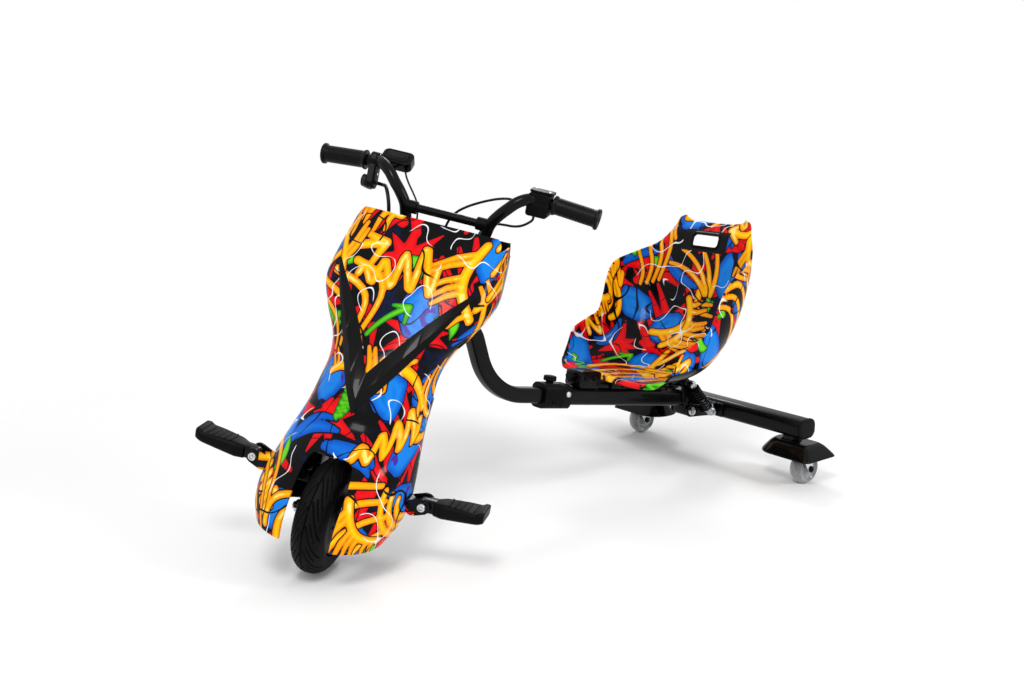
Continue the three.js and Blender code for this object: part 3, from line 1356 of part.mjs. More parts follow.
const swivelRadius = 12;
const crownTop = 75;
const crownThickness = 4;
const crownHalfDepth = 14;
const forkLeg = 3;
const forkLegRoom = 1.2;
const legInside = casterWidth / 2 + forkLegRoom;
const legTopRadius = 13;
const legFootRadius = 8;
const casterAxle = 4;
const axleHeadRadius = 7;
const axleHead = 5;
const casterHubRadius = 12;
const casterRecess = 4;
const casterTread = 22; // radius of the tread's crown across the wheel
for (const [side, word] of [[1, 'left'], [-1, 'right']]) {
  const shell = cut(loft(coverRings(0, 0)), loft(coverRings(coverWall, coverWall)));
  piece(trike, `caster_cover_${word}`, side > 0 ? shell : shell.mirror([1, 0, 0]), glossBlack());

  const caster = new THREE.Group();
  caster.position.set(side * casterX, kingpinY, 0);
  trike.add(caster);
  const hubAt = at(0, casterTrail, casterRadius);
  const legShape = strap(flat(0, crownTop - legTopRadius), flat(casterTrail, casterRadius), legTopRadius, legFootRadius);
  const legs = [-1, 1].map((face) => prismX(legShape, forkLeg, 3).translate(face * (legInside + forkLeg / 2), 0, 0));
  const legOut = legInside + forkLeg;
  const casterFork = join(
    ...legs,
    block(2 * legOut, 2 * crownHalfDepth, crownThickness).translate(0, 0, crownTop - crownThickness / 2),
    rod(at(0, 0, crownTop - crownThickness / 2), at(0, 0, coverHigh - coverWall - gap), swivelRadius, 12),
    crossRod(hubAt, legOut + axleHead, casterAxle, 12),
    ...[-1, 1].map((face) =>
      rod(hubAt.clone().setX(face * legInside), hubAt.clone().setX(face * (legOut + axleHead)), axleHeadRadius, 6)),
  );
  piece(caster, `caster_fork_${word}`, casterFork, steel());

  const half = casterWidth / 2;
  const bore = casterAxle + gap;
  const edge = casterRadius - casterTread + Math.sqrt(casterTread ** 2 - half ** 2);
  const treadShares = [-1, -0.6, 0, 0.6, 1];
  const tread = treadShares.map((share) => [
    casterRadius - casterTread + Math.sqrt(casterTread ** 2 - (share * half) ** 2),
    share * half,
  ]);
  const profile = [
    [bore, -half],
    [casterHubRadius, -half],
    [casterHubRadius + casterRecess, -half + casterRecess],
    [edge - casterRecess, -half + casterRecess],
    ...tread,
    [edge - casterRecess, half - casterRecess],
    [casterHubRadius + casterRecess, half - casterRecess],
    [casterHubRadius, half],
    [bore, half],
    [bore, -half],
  ];
  piece(caster, `caster_wheel_${word}`, turned(profile, xAxis, hubAt, 16), wheelGrey());
}

// The origin: on the ground, in the middle of the whole outline
trike.updateMatrixWorld(true);
const extent = new THREE.Box3().setFromObject(trike, true);
const middle = extent.getCenter(at(0, 0, 0));
trike.position.set(-middle.x, -middle.y, 0);

export default trike;
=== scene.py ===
import bmesh
import bpy
import math
import random
import numpy as np
from mathutils import Matrix, Vector
from mathutils.kdtree import KDTree


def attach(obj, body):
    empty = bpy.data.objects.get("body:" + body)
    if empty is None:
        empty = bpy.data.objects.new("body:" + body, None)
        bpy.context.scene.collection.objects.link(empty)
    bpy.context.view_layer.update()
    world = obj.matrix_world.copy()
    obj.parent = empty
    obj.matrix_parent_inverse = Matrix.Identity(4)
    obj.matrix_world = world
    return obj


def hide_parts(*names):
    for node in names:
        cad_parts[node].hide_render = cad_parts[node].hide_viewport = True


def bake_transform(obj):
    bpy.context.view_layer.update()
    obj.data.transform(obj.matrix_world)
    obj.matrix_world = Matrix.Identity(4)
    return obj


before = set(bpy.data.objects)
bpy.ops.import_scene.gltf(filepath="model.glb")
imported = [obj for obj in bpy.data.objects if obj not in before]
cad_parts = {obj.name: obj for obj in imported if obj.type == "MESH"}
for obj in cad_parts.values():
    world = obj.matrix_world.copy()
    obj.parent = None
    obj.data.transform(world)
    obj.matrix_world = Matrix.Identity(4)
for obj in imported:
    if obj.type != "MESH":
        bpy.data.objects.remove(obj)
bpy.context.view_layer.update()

print("frame loaded")

# The source's own frames: millimetres, turned front unit, sloping beam
steer = {"rake": 19.3, "parked": 39, "foot": 18, "slope": 9.5, "runY": 519, "runZ": 219,
         "origin": (33.2846, -468.4753, 0)}
metre = 0.001  # one millimetre
rake = math.radians(steer["rake"])
slope = math.radians(steer["slope"])
axisDir = Vector((0, math.sin(rake), math.cos(rake)))
axisRoot = Vector((0, steer["foot"], 0))
whole = Matrix.Scale(metre, 4) @ Matrix.Translation(steer["origin"])
turn = Matrix.Rotation(math.radians(steer["parked"]), 4, axisDir)
front = whole @ Matrix.Translation(axisRoot) @ turn @ Matrix.Translation(-axisRoot)
run = whole @ Matrix.Translation((0, steer["runY"], steer["runZ"])) @ Matrix.Rotation(-slope, 4, "X")
sides = ((1, "left"), (-1, "right"))
fullTurn = 2 * math.pi


def onAxis(height):
    return axisRoot + axisDir * height


def linked(name, data):
    obj = bpy.data.objects.new(name, data)
    bpy.context.scene.collection.objects.link(obj)
    return obj


# Camera, fitted to the photograph
def makeCamera():
    view = {"place": (1678.8, -1340.1, 774.0), "azimuth": 51.62, "down": 11.77, "roll": 0.16,
            "focal": 1138.5, "wide": 1024, "sensor": 36, "near": 0.05, "far": 30}
    azimuth, down, roll = (math.radians(view[key]) for key in ("azimuth", "down", "roll"))
    ahead = Vector((-math.sin(azimuth) * math.cos(down), math.cos(azimuth) * math.cos(down), -math.sin(down)))
    right = ahead.cross(Vector((0, 0, 1))).normalized()
    up = right.cross(ahead)
    tiltedRight = right * math.cos(roll) + up * math.sin(roll)
    tiltedUp = up * math.cos(roll) - right * math.sin(roll)
    data = bpy.data.cameras.new("photoCamera")
    data.sensor_width = view["sensor"]
    data.lens = view["sensor"] * view["focal"] / view["wide"]
    data.clip_start = view["near"]
    data.clip_end = view["far"]
    camera = linked("photoCamera", data)
    heading = Matrix((tiltedRight, tiltedUp, -ahead)).transposed().to_4x4()
    camera.matrix_world = Matrix.Translation(Vector(view["place"]) * metre) @ heading
    bpy.context.scene.camera = camera


makeCamera()
bpy.context.scene.view_settings.view_transform = "Standard"


# Shader maths on sockets
class Wire:
    def __init__(self, tree, socket=None):
        self.tree = tree
        self.socket = socket

    def node(self, kind, inputs=None, output=0, **settings):
        made = self.tree.nodes.new(kind)
        for key, value in settings.items():
            setattr(made, key, value)
        for place, value in (inputs or {}).items():
            if isinstance(value, Wire):
                self.tree.links.new(value.socket, made.inputs[place])
            else:
                made.inputs[place].default_value = value
        return Wire(self.tree, made.outputs[output])

    def maths(self, operation, *values):
        return self.node("ShaderNodeMath", dict(enumerate(values)), operation=operation)

    def __add__(self, other):
        return self.maths("ADD", self, other)

    def __radd__(self, other):
        return self.maths("ADD", other, self)

    def __sub__(self, other):
        return self.maths("SUBTRACT", self, other)

    def __rsub__(self, other):
        return self.maths("SUBTRACT", other, self)

    def __mul__(self, other):
        return self.maths("MULTIPLY", self, other)

    def __rmul__(self, other):
        return self.maths("MULTIPLY", other, self)

    def size(self):
        return self.maths("ABSOLUTE", self)

    def between(self, low, high, first=0.0, last=1.0, **settings):
        return self.node("ShaderNodeMapRange", {0: self, 1: low, 2: high, 3: first, 4: last}, **settings)

    def below(self, edge, soft):
        return self.between(edge - soft, edge + soft, 1.0, 0.0)

    def mix(self, first, second):
        return self.node("ShaderNodeMix", {0: self, 6: first, 7: second}, 2, data_type="RGBA",
                         clamp_factor=True)

    def noise(self, scale, detail=3.0, rough=0.55):
        where = self.node("ShaderNodeTexCoord", output=3)
        return self.node("ShaderNodeTexNoise", {0: where, 2: scale, 3: detail, 4: rough})

    def attribute(self, name):
        return self.node("ShaderNodeAttribute", output=2, attribute_name=name)

    def bump(self, strength, distance):
        return self.node("ShaderNodeBump", {"Strength": strength, "Distance": distance, "Height": self})


def rgb(*channels):
    curve = [c / 255 for c in channels]
    return tuple(c / 12.92 if c < 0.04045 else ((c + 0.055) / 1.055) ** 2.4 for c in curve) + (1.0,)


def newMaterial(name, fixed):
    material = bpy.data.materials.new(name)
    material.use_nodes = True
    shader = next(n for n in material.node_tree.nodes if n.type == "BSDF_PRINCIPLED")
    names = {"coat": "Coat Weight", "coatRough": "Coat Roughness", "specular": "Specular IOR Level",
             "metal": "Metallic", "clear": "Transmission Weight", "bend": "IOR"}
    for key, value in fixed.items():
        shader.inputs[names[key]].default_value = value
    return material, Wire(material.node_tree), shader


def connect(shader, **values):
    names = {"color": "Base Color", "rough": "Roughness", "normal": "Normal", "alpha": "Alpha"}
    for key, wire in values.items():
        wire.tree.links.new(wire.socket, shader.inputs[names[key]])


# Paint, mouldings and rubber: tone and roughness drift in clouds, over a fine grain
plainFinishes = {
    "paint": {"name": "glossPaint", "tones": ((5, 5, 6), (10, 10, 11)), "rough": (0.2, 0.3), "grain": 420,
              "depth": 0.05, "speckle": 0.2, "fixed": {"coat": 0.1, "coatRough": 0.06, "specular": 0.08}},
    "gloss": {"name": "glossMoulding", "tones": ((4, 4, 5), (9, 9, 10)), "rough": (0.14, 0.24), "grain": 260,
              "depth": 0.04, "speckle": 0.15, "fixed": {"coat": 0.14, "coatRough": 0.05, "specular": 0.06}},
    "matt": {"name": "satinMoulding", "tones": ((5, 5, 6), (10, 10, 11)), "rough": (0.36, 0.5), "grain": 1400,
             "depth": 0.25, "speckle": 0.2, "fixed": {"specular": 0.07}},
    "dark": {"name": "darkMoulding", "tones": ((22, 23, 24), (34, 35, 36)), "rough": (0.38, 0.5), "grain": 1200,
             "depth": 0.2, "speckle": 0.15, "fixed": {"specular": 0.2}},
    "rubber": {"name": "gripRubber", "tones": ((6, 6, 6), (11, 11, 11)), "rough": (0.32, 0.46), "grain": 1100,
               "depth": 0.3, "speckle": 0.3, "fixed": {"specular": 0.12}},
    "tyre": {"name": "tyreRubber", "tones": ((6, 6, 6), (11, 11, 11)), "rough": (0.5, 0.68), "grain": 800,
             "depth": 0.35, "speckle": 0.4, "fixed": {"specular": 0.09}},
    "cable": {"name": "cableSheath", "tones": ((6, 6, 6), (11, 11, 11)), "rough": (0.34, 0.44), "grain": 900,
              "depth": 0.1, "speckle": 0.1, "fixed": {"specular": 0.2}},
    "wrap": {"name": "batteryWrap", "tones": ((34, 66, 132), (44, 80, 150)), "rough": (0.3, 0.42), "grain": 300,
             "depth": 0.1, "speckle": 0, "fixed": {}},
}


def plainFinish(look):
    material, start, shader = newMaterial(look["name"], look["fixed"])
    dark, light = (rgb(*tone) for tone in look["tones"])
    drift = start.noise(9.0, 4.0)
    color = drift.between(0.35, 0.65).mix(dark, light)
    if look["speckle"]:
        paler = tuple(min(c * 2.2 + 0.02, 1) for c in light[:3]) + (1.0,)
        color = (start.noise(160.0, 2.0).between(0.62, 0.8) * look["speckle"]).mix(color, paler)
    grain = start.noise(look["grain"], 2.0).bump(look["depth"], 0.0005)
    connect(shader, color=color, rough=drift.between(0.3, 0.7, *look["rough"]), normal=grain)
    return material


# Bare metal, with a little dirt
metalFinishes = {
    "zinc": {"name": "brightZinc", "tones": ((176, 180, 184), (222, 225, 228)), "rough": (0.2, 0.36),
             "grain": 500, "depth": 0.08},
    "alloy": {"name": "castAlloy", "tones": ((34, 35, 36), (54, 55, 57)), "rough": (0.34, 0.5), "grain": 650,
              "depth": 0.3},
}


def metalFinish(look):
    material, start, shader = newMaterial(look["name"], {"metal": 1.0})
    drift = start.noise(40.0, 5.0, 0.65)
    dirt = start.noise(90.0, 4.0).between(0.58, 0.78, 0.0, 0.5)
    color = dirt.mix(drift.between(0.35, 0.65).mix(*(rgb(*tone) for tone in look["tones"])), rgb(74, 72, 68))
    grain = start.noise(look["grain"], 3.0, 0.7).bump(look["depth"], 0.0004)
    connect(shader, color=color, rough=drift.between(0.3, 0.7, *look["rough"]), normal=grain)
    return material


# The smoky caster wheels, with a painted sheen: paler where the surface turns away from view
def wheelFinish():
    material, start, shader = newMaterial("smokyPolymer", {"clear": 0.25, "bend": 1.5, "coat": 0.3})
    drift = start.noise(60.0)
    # painted sheen: the colour turns pale towards the grazing edges
    edgeSheen = start.node("ShaderNodeLayerWeight", {0: 0.35}, 1)
    color = edgeSheen.mix(drift.between(0.35, 0.65).mix(rgb(120, 122, 123), rgb(140, 142, 143)),
                       rgb(196, 198, 199))
    connect(shader, color=color, rough=drift.between(0.3, 0.7, 0.18, 0.3),
            normal=start.noise(300.0).bump(0.05, 0.0004))
    return material


# The print: five layers of strokes, each a signed distance in millimetres kept at the vertices
def printFinish():
    ink = {"soft": 0.22, "line": 2.1, "thinLine": 1.2, "slash": 0.011, "joint": 0.009, "crack": 0.011,
           "scrawl": 0.0095}
    material, start, shader = newMaterial("printedShell", {"coat": 0.11, "coatRough": 0.1, "specular": 0.04})
    soft = ink["soft"]
    drift = start.noise(26.0, 4.0)
    streak = start.noise(70.0, 5.0, 0.7)
    patches = start.noise(9.0, 1.0).between(0.5, 0.52)
    slash = (start.noise(17.0, 0.0) - 0.5).size()  # thin lines lie where a noise crosses one level
    joint = (start.noise(13.0, 0.0, 0.5) - 0.47).size()
    scrawl = (start.noise(22.0, 0.0) - 0.505).size()

    def layer(under, name, fill, line=ink["line"]):
        distance = start.attribute(name)
        inked = distance.below(line, soft).mix(under, rgb(6, 6, 7))
        return distance.below(0.0, soft).mix(inked, fill(distance))

    def red(distance):
        shade = distance.between(-9.0, -1.0).mix(rgb(240, 18, 22), rgb(206, 6, 20))
        return slash.below(ink["slash"], 0.003).mix(shade, rgb(30, 4, 10))

    def blue(distance):
        shade = distance.between(-14.0, -1.5).mix(rgb(20, 128, 226), rgb(4, 82, 190))
        inner = start.attribute("purple").below(0.0, soft).mix(shade, rgb(66, 44, 160))
        filled = distance.between(-4.6, -4.0).mix(inner, shade)
        return joint.below(ink["joint"], 0.003).mix(filled, rgb(6, 14, 50))

    def green(distance):
        return distance.between(-5.0, -0.8).mix(rgb(104, 210, 30), rgb(30, 140, 16))

    def yellow(distance):
        body = distance.between(-6.4, -0.6).mix(rgb(255, 200, 14), rgb(240, 132, 2))
        shine = (distance.below(-4.4, 0.7) * drift.between(0.54, 0.6)).mix(body, rgb(255, 226, 120))
        return (joint.below(ink["crack"], 0.003) * patches.between(1.0, 0.0)).mix(shine, rgb(12, 6, 3))

    color = drift.between(0.52, 0.66).mix(rgb(7, 7, 8), rgb(9, 20, 58))
    color = layer(color, "red", red)
    color = layer(color, "blue", blue)
    color = layer(color, "green", green, ink["thinLine"])
    color = layer(color, "yellowBack", yellow)
    color = layer(color, "yellowFront", yellow)
    color = (scrawl.below(ink["scrawl"], 0.002) * patches).mix(color, rgb(240, 242, 244))
    color = start.attribute("bare").below(0.0, soft).mix(color, rgb(14, 14, 15))
    connect(shader, color=color, rough=streak.between(0.35, 0.7, 0.14, 0.26),
            normal=start.noise(240.0, 2.0).bump(0.04, 0.0004))
    return material


finishes = {key: plainFinish(look) for key, look in plainFinishes.items()}
finishes.update({key: metalFinish(look) for key, look in metalFinishes.items()})
finishes.update({"wheel": wheelFinish(), "print": printFinish()})
print("materials made")


# Shapes: (points in millimetres, faces)
def merged(*shapes):
    points, faces = [], []
    for shapePoints, shapeFaces in shapes:
        base = len(points)
        points += shapePoints
        faces += [tuple(base + i for i in face) for face in shapeFaces]
    return points, faces


def placed(shape, matrix):
    return [matrix @ Vector(point) for point in shape[0]], shape[1]


def shifted(shape, *offset):
    return placed(shape, Matrix.Translation(offset))


def flippedX(shape):
    return [Vector((-p[0], p[1], p[2])) for p in shape[0]], [tuple(reversed(face)) for face in shape[1]]


def arc(x, y, radius, start, end, steps):
    angles = [start + (end - start) * i / steps for i in range(steps + 1)]
    return [(x + radius * math.cos(angle), y + radius * math.sin(angle)) for angle in angles]


def circle(radius, count):
    angles = [fullTurn * j / count for j in range(count)]
    return [(radius * math.cos(angle), radius * math.sin(angle)) for angle in angles]


def roundedRect(width, height, radius, steps=5):
    x, y = width / 2 - radius, height / 2 - radius
    outline = []
    for quarter, (sideX, sideY) in enumerate(((1, 1), (-1, 1), (-1, -1), (1, -1))):
        start = quarter * math.pi / 2
        outline += arc(sideX * x, sideY * y, radius, start, start + math.pi / 2, steps)
    return outline


def strap(first, last, firstRadius, lastRadius, steps=14):
    along = (last[0] - first[0], last[1] - first[1])
    lean = math.acos((firstRadius - lastRadius) / math.hypot(*along))
    heading = math.atan2(along[1], along[0])
    return (arc(*first, firstRadius, heading + lean, heading - lean + fullTurn, steps)
            + arc(*last, lastRadius, heading - lean, heading + lean, steps))


def loft(rings, caps=True):
    count = len(rings[0])
    points = [Vector(p) for ring in rings for p in ring]
    faces = []
    for i in range(len(rings) - 1):
        low, high = i * count, (i + 1) * count
        faces += [(low + j, low + (j + 1) % count, high + (j + 1) % count, high + j) for j in range(count)]
    if caps:
        last = (len(rings) - 1) * count
        faces += [tuple(reversed(range(count))), tuple(range(last, last + count))]
    return points, faces


def prism(outline, first, last, axis="Z"):
    low, high = min(first, last), max(first, last)
    place = {
        "X": lambda a, b, depth: (depth, a, b),
        "Y": lambda a, b, depth: (a, depth, b),
        "Z": lambda a, b, depth: (a, b, depth),
    }[axis]
    return loft([[place(a, b, depth) for a, b in outline] for depth in (low, high)])


def block(width, depth, height):
    x, y = width / 2, depth / 2
    return prism([(-x, -y), (x, -y), (x, y), (-x, y)], -height / 2, height / 2)


def sideways(along):
    along = Vector(along).normalized()
    other = Vector((0, 0, 1)) if abs(along.z) < 0.9 else Vector((1, 0, 0))
    across = along.cross(other).normalized()
    return across, along.cross(across)


def rod(first, last, radius, count=32):
    first, last = Vector(first), Vector(last)
    across, upward = sideways(last - first)
    angles = [fullTurn * j / count for j in range(count)]
    return loft([
        [end + across * radius * math.cos(angle) + upward * radius * math.sin(angle) for angle in angles]
        for end in (first, last)])


def crossRod(point, half, radius, count=32):
    return rod((-half, *point), (half, *point), radius, count)


# A smooth line through the points, evenly spaced, and its length
def smoothLine(points, steps, denser=24):
    points = [Vector(p) for p in points]
    spans = [math.sqrt((b - a).length) for a, b in zip(points, points[1:])]
    knots = [0.0]
    for span in spans:
        knots.append(knots[-1] + span)
    padded = [points[0] * 2 - points[1], *points, points[-1] * 2 - points[-2]]
    times = [knots[0] - spans[0], *knots, knots[-1] + spans[-1]]
    dense = []
    for i in range(len(points) - 1):
        t = times[i:i + 4]
        for k in range(denser):
            at = t[1] + (t[2] - t[1]) * k / denser
            row = padded[i:i + 4]
            for reach in (1, 2):
                row = [row[n] * ((t[n + reach] - at) / (t[n + reach] - t[n]))
                       + row[n + 1] * ((at - t[n]) / (t[n + reach] - t[n])) for n in range(4 - reach)]
            dense.append(row[0] * ((t[2] - at) / (t[2] - t[1])) + row[1] * ((at - t[1]) / (t[2] - t[1])))
    dense.append(points[-1])
    lengths = np.concatenate([[0], np.cumsum([(b - a).length for a, b in zip(dense, dense[1:])])])
    wanted = np.linspace(0, lengths[-1], steps + 1)
    columns = [np.interp(wanted, lengths, [d[k] for d in dense]) for k in range(3)]
    return [Vector(p) for p in zip(*columns)], float(lengths[-1])


def sweep(line, outline):  # the outline's (across, up) turns with the line
    rings = []
    along = (line[1] - line[0]).normalized()
    across, upward = sideways(along)
    for i, centre in enumerate(line):
        ahead = (line[min(i + 1, len(line) - 1)] - line[max(i - 1, 0)]).normalized()
        bend = along.rotation_difference(ahead)
        across, upward = bend @ across, bend @ upward
        along = ahead
        rings.append([centre + across * a + upward * b for a, b in outline])
    return loft(rings)


def tube(points, radius, count=24, steps=60):
    return sweep(smoothLine(points, steps)[0], circle(radius, count))


def turned(profile, axis, centre, segments=64, closed=False):  # profile: (radius, place along the axis)
    across, upward = sideways(axis)
    along, centre = Vector(axis).normalized(), Vector(centre)
    points, faces = [], []
    count = len(profile)
    for k in range(segments):
        angle = fullTurn * k / segments
        out = across * math.cos(angle) + upward * math.sin(angle)
        points += [centre + out * radius + along * place for radius, place in profile]
        low, high = k * count, (k + 1) % segments * count
        for j in range(count if closed else count - 1):
            after = (j + 1) % count
            faces.append((low + j, low + after, high + after, high + j))
    return points, faces


def smoothTable(rows, place):
    i = 0
    while i + 2 < len(rows) and rows[i + 1][0] < place:
        i += 1
    before, first = rows[max(i - 1, 0)], rows[i]
    last, after = rows[i + 1], rows[min(i + 2, len(rows) - 1)]
    span = last[0] - first[0]
    t = (place - first[0]) / span
    t2, t3 = t * t, t * t * t
    values = []
    for column, start in enumerate(first):
        slopeFirst = (last[column] - before[column]) / (last[0] - before[0])
        slopeLast = (after[column] - start) / (after[0] - first[0])
        rise = (2 * t3 - 3 * t2 + 1) * start + (3 * t2 - 2 * t3) * last[column]
        values.append(rise + span * ((t3 - 2 * t2 + t) * slopeFirst + (t3 - t2) * slopeLast))
    return values


# Pieces
def meshOf(name, shape, matrix):
    mesh = bpy.data.meshes.new(name)
    mesh.from_pydata([tuple(matrix @ Vector(p)) for p in shape[0]], [], shape[1])
    mesh.validate()
    mesh.update()
    work = bmesh.new()
    work.from_mesh(mesh)
    bmesh.ops.recalc_face_normals(work, faces=work.faces)
    work.to_mesh(mesh)
    work.free()
    return mesh


def applied(obj, kind, **settings):
    modifier = obj.modifiers.new("step", kind)
    for key, value in settings.items():
        setattr(modifier, key, value)
    depsgraph = bpy.context.evaluated_depsgraph_get()
    seen = obj.evaluated_get(depsgraph)
    made = bpy.data.meshes.new_from_object(seen, preserve_all_data_layers=True, depsgraph=depsgraph)
    old = obj.data
    obj.modifiers.clear()
    obj.data = made
    bpy.data.meshes.remove(old)


def carve(obj, matrix, *tools):
    for tool in tools:
        mesh = meshOf("tool", tool, matrix)
        for material in obj.data.materials:
            mesh.materials.append(material)
        for face in mesh.polygons:
            face.material_index = len(mesh.materials) - 1
        cutter = linked("tool", mesh)
        applied(obj, "BOOLEAN", operation="DIFFERENCE", solver="EXACT", object=cutter)
        bpy.data.objects.remove(cutter)
        bpy.data.meshes.remove(mesh)


def smoothShade(obj, angle):
    obj.data.shade_smooth()
    obj.data.set_sharp_from_angle(angle=math.radians(angle))


def piece(name, shape, finish, matrix, body, bevel=0.0, nodes=(), angle=35, segments=2):
    obj = linked(name, meshOf(name, shape, matrix))
    obj.data.materials.append(finishes[finish])
    if bevel:
        applied(obj, "BEVEL", width=bevel * metre, segments=segments, limit_method="ANGLE",
                angle_limit=math.radians(38), harden_normals=False)
    smoothShade(obj, angle)
    if body:
        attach(obj, body)
    if nodes:
        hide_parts(*nodes)
    return obj


# Leads first: they run from the controls into the top of the cowl
leads = {
    "throttleLead": {"node": "throttle_cable", "radius": 3.6, "points": [
        (-160.3, 431, 577), (-153, 431, 577), (-143, 424, 578), (-132, 408, 581), (-122, 391, 578),
        (-114, 381, 568), (-109, 378, 553), (-107, 378, 540), (-106, 378, 528)]},
    "displayLead": {"node": "display_cable", "radius": 1.8, "points": [
        (-108, 441, 609), (-104, 439, 601), (-96, 436, 590), (-84, 431, 577), (-72, 425, 563),
        (-65, 419, 548), (-62, 415, 536), (-61, 413, 524)]},
    "switchLead": {"node": "switch_cable", "radius": 2.4, "points": [
        (158, 425, 589.6), (158, 425, 582), (150, 425, 573), (138, 424, 565), (124, 423, 561),
        (108, 422, 560), (92, 421, 558), (78, 419, 552), (68, 416, 542), (63, 413, 528)]},
    "sensorLead": {"node": "sensor_cable", "radius": 2.4, "points": [
        (142.6, 426, 608), (136, 426, 608), (124, 423, 609), (108, 418, 611), (90, 417, 607), (70, 417, 599),
        (50, 417, 589), (30, 417, 577), (12, 417, 562), (2, 416, 546), (-2, 414, 534), (-3, 413, 523)]},
}
for name, route in leads.items():
    line, length = smoothLine(route["points"], 36)
    lead = piece(name, sweep(line, circle(route["radius"], 16)), "cable", front, "front_unit",
                 nodes=[route["node"]])
print("leads made")


# Front wheel: the tyre stands on the floor
wheel = {"radius": 100, "rim": 64, "crown": 28}
crownCentre = wheel["radius"] - wheel["crown"]
turnedAxle = (turn.to_quaternion() @ Vector((1, 0, 0))).normalized()
tyreDrop = crownCentre * math.sqrt(1 - turnedAxle.z ** 2) + wheel["crown"]
hubFromRoot = turn.to_quaternion() @ -axisRoot
hubZ = (tyreDrop - hubFromRoot.z) / (turn.to_quaternion() @ Vector((0, 0, 1))).z
hub = Vector((0, 0, hubZ))
tread = {"groove": 1.1, "depth": 2.2, "sipes": 30, "around": 720, "across": 64, "bead": 104, "wall": 95,
         "lip": 0.6, "slant": 0.095, "bow": 1.12, "cut": 0.17, "long": (3, 25.5), "short": (9, 19)}
sidewall = {"low": 27.6, "high": 28.5, "places": (1.42, 1.62), "steps": (0, 0.02, 0.05, 0.07)}


def makeTyre():
    around, across = tread["around"], tread["across"]
    points, faces = [], []
    for i in range(around):
        spin = fullTurn * i / around
        for j in range(across + 1):
            angle = math.radians(-tread["bead"] + 2 * tread["bead"] * j / across)
            x = wheel["crown"] * math.sin(angle)
            depth = tread["depth"] if abs(x) < tread["groove"] else 0
            swing = spin * tread["sipes"] / fullTurn - tread["slant"] * abs(x) ** tread["bow"]
            phase = (swing + (0.5 if x > 0 else 0)) % 2
            low, high = tread["short" if phase >= 1 else "long"]
            if low < abs(x) < high and phase % 1 < tread["cut"]:
                depth = tread["depth"]
            radius = wheel["crown"] - depth
            out = crownCentre + radius * math.cos(angle)
            if abs(angle) > math.radians(tread["wall"]):
                out = max(out, wheel["rim"] + tread["lip"])
            place = math.copysign(radius * math.sin(abs(angle)), x)
            points.append(hub + Vector((place, out * math.cos(spin), out * math.sin(spin))))
    row = across + 1
    for i in range(around):
        low, high = i * row, (i + 1) % around * row
        faces += [(low + j, low + j + 1, high + j + 1, high + j) for j in range(across)]
        faces.append((low + across, low, high, high + across))
    piece("tyreTread", (points, faces), "tyre", front, "front_wheel", nodes=["front_tyre"], angle=28)
    reach = [sidewall[key] for key in ("low", "high", "high", "low")]
    rings = []
    for side in (-1, 1):
        for place in sidewall["places"]:
            profile = [(crownCentre + r * math.cos(place + step), side * r * math.sin(place + step))
                       for r, step in zip(reach, sidewall["steps"])]
            rings.append(turned(profile, (1, 0, 0), hub, 96, closed=True))
    piece("sidewallRibs", merged(*rings), "tyre", front, "front_wheel")


motor = {
    "outline": [
        (6.4, -39.6), (13.5, -39.6), (15, -38.4), (15.4, -33), (19, -29.4), (31, -27.2), (41.5, -26.4),
        (44, -24.6), (47, -23.6), (57, -22.2), (60.5, -21.8), (61.6, -20.4), (62.8, -20), (64, -18.6)],
    "bolts": 8, "circle": 36.5, "bolt": 3.2, "under": 26, "over": 29.6, "socket": 0.62,
}


def makeHubMotor():
    outline = motor["outline"] + [(radius, -x) for radius, x in reversed(motor["outline"])]
    shell = turned(outline, (1, 0, 0), hub, 96, closed=True)
    piece("hubMotorShell", shell, "alloy", front, "front_wheel", nodes=["hub_motor"])
    bolts = []
    for side in (-1, 1):
        for y, z in circle(1, motor["bolts"]):
            centre = hub + Vector((0, motor["circle"] * y, motor["circle"] * z))
            low, high = (centre + Vector((side * motor[key], 0, 0)) for key in ("under", "over"))
            bolts.append(rod(low, high, motor["bolt"], 20))
            socket = [high + Vector((side * out, 0, 0)) for out in (-0.6, 0.4)]
            bolts.append(rod(*socket, motor["bolt"] * motor["socket"], 6))
    piece("hubCoverBolts", merged(*bolts), "dark", front, "front_wheel", bevel=0.3)


makeTyre()
makeHubMotor()


# Fork, axle and its nuts
fork = {"inside": 40, "outside": 48, "crown": 222, "foot": 15, "top": 20, "stem": 14, "stemTop": 385,
        "bridge": (96, 44, 14), "weld": 2.2, "weldLine": ((-21, -1.5), (0, -8), (21, -14))}
axle = {"radius": 6, "end": 61.3, "nut": (49.4, 57.3, 11, 6), "washer": (48.3, 49.5, 13, 40), "threads": 4,
        "pitch": 0.9, "thread": [(5.95, 0), (6.35, 0.4), (5.95, 0.8)]}


def makeFork():
    crown = onAxis(fork["crown"])
    outline = strap((hub.y, hub.z), (crown.y, crown.z), fork["foot"], fork["top"], 20)
    plates = [prism(outline, side * fork["inside"], side * fork["outside"], "X") for side in (-1, 1)]
    bridge = placed(block(*fork["bridge"]), Matrix.Translation(crown) @ Matrix.Rotation(-rake, 4, "X"))
    stem = rod(crown, onAxis(fork["stemTop"]), fork["stem"])
    piece("forkFrame", merged(*plates, bridge, stem), "paint", front, "front_unit", bevel=1.2, nodes=["fork"])
    beads = [tube([crown + Vector((side * (fork["inside"] - 1), y, z)) for y, z in fork["weldLine"]],
                  fork["weld"], 10, 12) for side in (-1, 1)]
    piece("forkWelds", merged(*beads), "paint", front, "front_unit")


